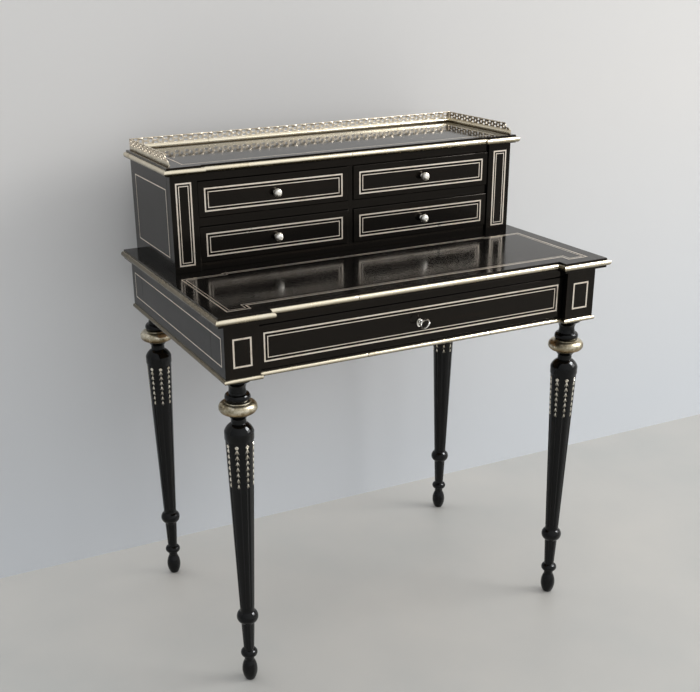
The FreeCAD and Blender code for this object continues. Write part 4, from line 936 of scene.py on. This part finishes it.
def add_key_plate():
    """Oval brass key plate let into the drawer's face, with a raised rim and a keyhole."""
    hole = [(-1.5, -8.4), (1.5, -8.4), (1.5, -2.9)]
    hole += [(3.3 * math.sin(a), -3.3 * math.cos(a))
             for a in (math.radians(28 + (332 - 28) * i / 20) for i in range(21))]
    hole.append((-1.5, -2.9))
    outline = oval(0, -PLATE_DROP, PLATE_HALF_X, PLATE_HALF_Z, 48)
    points, faces = plate("key_plate", [outline, hole], 1.7, 0.25)
    rim = []
    for i in range(48):
        angle = math.tau * i / 48
        spot = Vector(((PLATE_HALF_X - PLATE_RIM) * math.cos(angle),
                       (PLATE_HALF_Z - PLATE_RIM) * math.sin(angle) - PLATE_DROP))
        out = Vector((math.cos(angle), math.sin(angle)))
        row = []
        for k in range(8):
            around = math.tau * k / 8
            edge = spot + out * (PLATE_RIM * math.cos(around))
            row.append((edge.x, edge.y, 0.85 + 0.6 * math.sin(around)))
        rim.append(row)
    points, faces = joined_parts([(points, faces), skin(rim, joined=True)])
    stand = Matrix.Translation((LOCK_X, LONG_FACE + 0.35, KEY_Z)) @ Matrix.Rotation(
        math.pi / 2, 4, "X")
    mesh = close_mesh("key_plate", moved(points, stand), faces, 30.0)
    new_piece("key_plate", mesh, KNOB_BRASS, "long_drawer", "gilt_brass", "escutcheon")


# ---- gallery -----------------------------------------------------------------------------
GALLERY_FOOT_Z = 935.5
GALLERY_TALL = 21.5
GALLERY_THIN = 1.6
GALLERY_LEDGE = 3.2
GALLERY_PITCH = 20.8
PAIR_LEVELS = (10.75, 17.75)
ROUND_LEVEL = 14.25
STRIP_X = 365.5
STRIP_BACK_Y = 262.25
SIDE_START_Y = 259.05
SIDE_LENGTH = 229.3
BACK_SEAM = 163.3                  # from the back strip's left end
SCROLL_RADIUS = 8.5
HOLLOW = [(0.0, -0.08), (1.6, -0.08), (1.6, 2.3), (0.0, 2.3)]     # (height, depth)


def pierced_sheet(name, outline, pairs, middles, more):
    """Trellis sheet: flat ovals in pairs, one over the other, and a round hole between them."""
    holes = [oval(x, z, 4.15, 2.15, 20) for x in pairs for z in PAIR_LEVELS]
    holes += [oval(x, ROUND_LEVEL, 3.0, 3.0, 20) for x in middles]
    points, faces = plate(name, [outline] + holes + more, GALLERY_THIN, 0.3)
    return [(x, z, depth + GALLERY_THIN / 2) for x, z, depth in points], faces


def bar(start, end, section):
    """Straight bar of a section of (height, depth) along a strip."""
    return skin([[(x, z, depth) for z, depth in section] for x in (start, end)])


def foot_and_rail(start, end, rail_end):
    """Plain band over a shadowed hollow, and the thin rail along the top."""
    band = [(1.2, 0.0), (4.8, -0.2), (8.3, -0.2), (8.9, 0.2), (8.9, 1.4), (8.2, 1.7),
            (6.4, 1.8), (4.8, 2.2), (3.8, GALLERY_LEDGE), (1.6, GALLERY_LEDGE), (1.2, 2.8)]
    rail = [(20.0, 0.3), (20.3, 0.0), (20.9, 0.0), (21.2, 0.4), (21.2, 2.8), (20.9, GALLERY_LEDGE),
            (20.3, GALLERY_LEDGE), (20.0, 2.9)]
    return [bar(start, end, band), bar(start, rail_end, rail)]


def cap(middle, depth, way):
    """Low oval boss on the rail, over a round hole, that faces in or out."""
    rows = []
    for share, lift in ((1.0, 0.0), (0.94, 0.35), (0.74, 0.62), (0.42, 0.78), (0.1, 0.82)):
        rows.append([(middle + 4.2 * share * math.cos(math.tau * i / 20),
                      19.75 + 1.7 * share * math.sin(math.tau * i / 20), depth + way * lift)
                     for i in range(20)])
    return skin(rows)


def scroll_outline():
    """Outline of a side strip above its foot: two quarter rounds step down at the front."""
    outline = [(0.0, 0.0), (SIDE_LENGTH, 0.0), (SIDE_LENGTH, 4.5)]
    for set_back, foot in ((2.2, 4.5), (17.0, 4.5 + SCROLL_RADIUS)):
        x = SIDE_LENGTH - set_back - SCROLL_RADIUS
        outline += [(x + SCROLL_RADIUS * math.cos(math.pi * i / 24),
                     foot + SCROLL_RADIUS * math.sin(math.pi * i / 24)) for i in range(13)]
    outline.append((0.0, GALLERY_TALL))
    return outline


def gallery_piece(name, node, places, parts, material):
    """One piece of the gallery; places turns (along, up, depth) into the desk's frame."""
    points, faces = joined_parts(parts)
    mesh = close_mesh(name, [places(*p) for p in points], faces, 35.0)
    new_piece(name, mesh, material, "desk", "gilt_brass", node)


def add_gallery():
    """Pierced gallery round the back and sides of the cabinet's top."""
    half = STRIP_X
    pairs = [half + (k - 17) * GALLERY_PITCH for k in range(35)]
    middles = [half + (k - 16.5) * GALLERY_PITCH for k in range(34)]

    def on_back(along, up, depth):
        return along - half, STRIP_BACK_Y - depth, GALLERY_FOOT_Z + up

    sheets, plain, hollow, caps = [], [], [], [cap(x, 3.2, 1) for x in middles]
    for start, end in ((0.0, BACK_SEAM - 0.35), (BACK_SEAM + 0.35, 2 * half)):
        outline = [(start, 0.0), (end, 0.0), (end, GALLERY_TALL), (start, GALLERY_TALL)]
        sheets.append(pierced_sheet("gallery_back", outline,
                                    [x for x in pairs if start < x < end],
                                    [x for x in middles if start < x < end], []))
        plain += foot_and_rail(start, end, end)
        hollow.append(bar(start, end, HOLLOW))
    gallery_piece("pierced_gallery_back", "gallery_back", on_back, sheets + caps,
                  PATINATED_BRASS)
    gallery_piece("gallery_band_back", "gallery_back", on_back, plain, LIGHT_SHADE_BRASS)
    # a dark bar in the hollow under the ledge stands for its shadow: painted shade
    gallery_piece("gallery_hollow_back", "gallery_back", on_back, hollow, HOLLOW_SHADE_BRASS)
    pairs = [8.5 + i * GALLERY_PITCH for i in range(10)]
    middles = [8.5 + (i + 0.5) * GALLERY_PITCH for i in range(10)]
    end_hole = oval(SIDE_LENGTH - 14.3, 9.0, 2.0, 2.0, 16)
    sheet = pierced_sheet("gallery_side", scroll_outline(), pairs, middles, [end_hole])
    plain = foot_and_rail(0.0, SIDE_LENGTH, SIDE_LENGTH - 26.5)
    for side, way in (("left", -1), ("right", 1)):

        def on_side(along, up, depth):
            return way * (STRIP_X - depth), SIDE_START_Y - along, GALLERY_FOOT_Z + up

        caps = [cap(x, 3.2, 1) for x in middles] + [cap(x, 0.0, -1) for x in middles]
        # the right strip gets the darker copy of the trellis brass: painted shade
        gallery_piece("pierced_gallery_" + side, "gallery_sides", on_side, [sheet] + caps,
                      PATINATED_BRASS if way < 0 else SHADED_TRELLIS_BRASS)
        gallery_piece("gallery_band_" + side, "gallery_sides", on_side, plain, LIGHT_SHADE_BRASS)
        # a dark bar in the hollow under the ledge stands for its shadow: painted shade
        gallery_piece("gallery_hollow_" + side, "gallery_sides", on_side,
                      [bar(0.0, SIDE_LENGTH, HOLLOW)], HOLLOW_SHADE_BRASS)


# ---- the whole ---------------------------------------------------------------------------
add_camera()
add_room()
add_light()
finish_carried_nodes()
add_boards()
add_legs()
add_leg_rings()
add_husks()
add_mouldings()
add_knobs()
add_key()
add_key_plate()
add_gallery()

view_settings = bpy.context.scene.view_settings
view_settings.view_transform = "Standard"
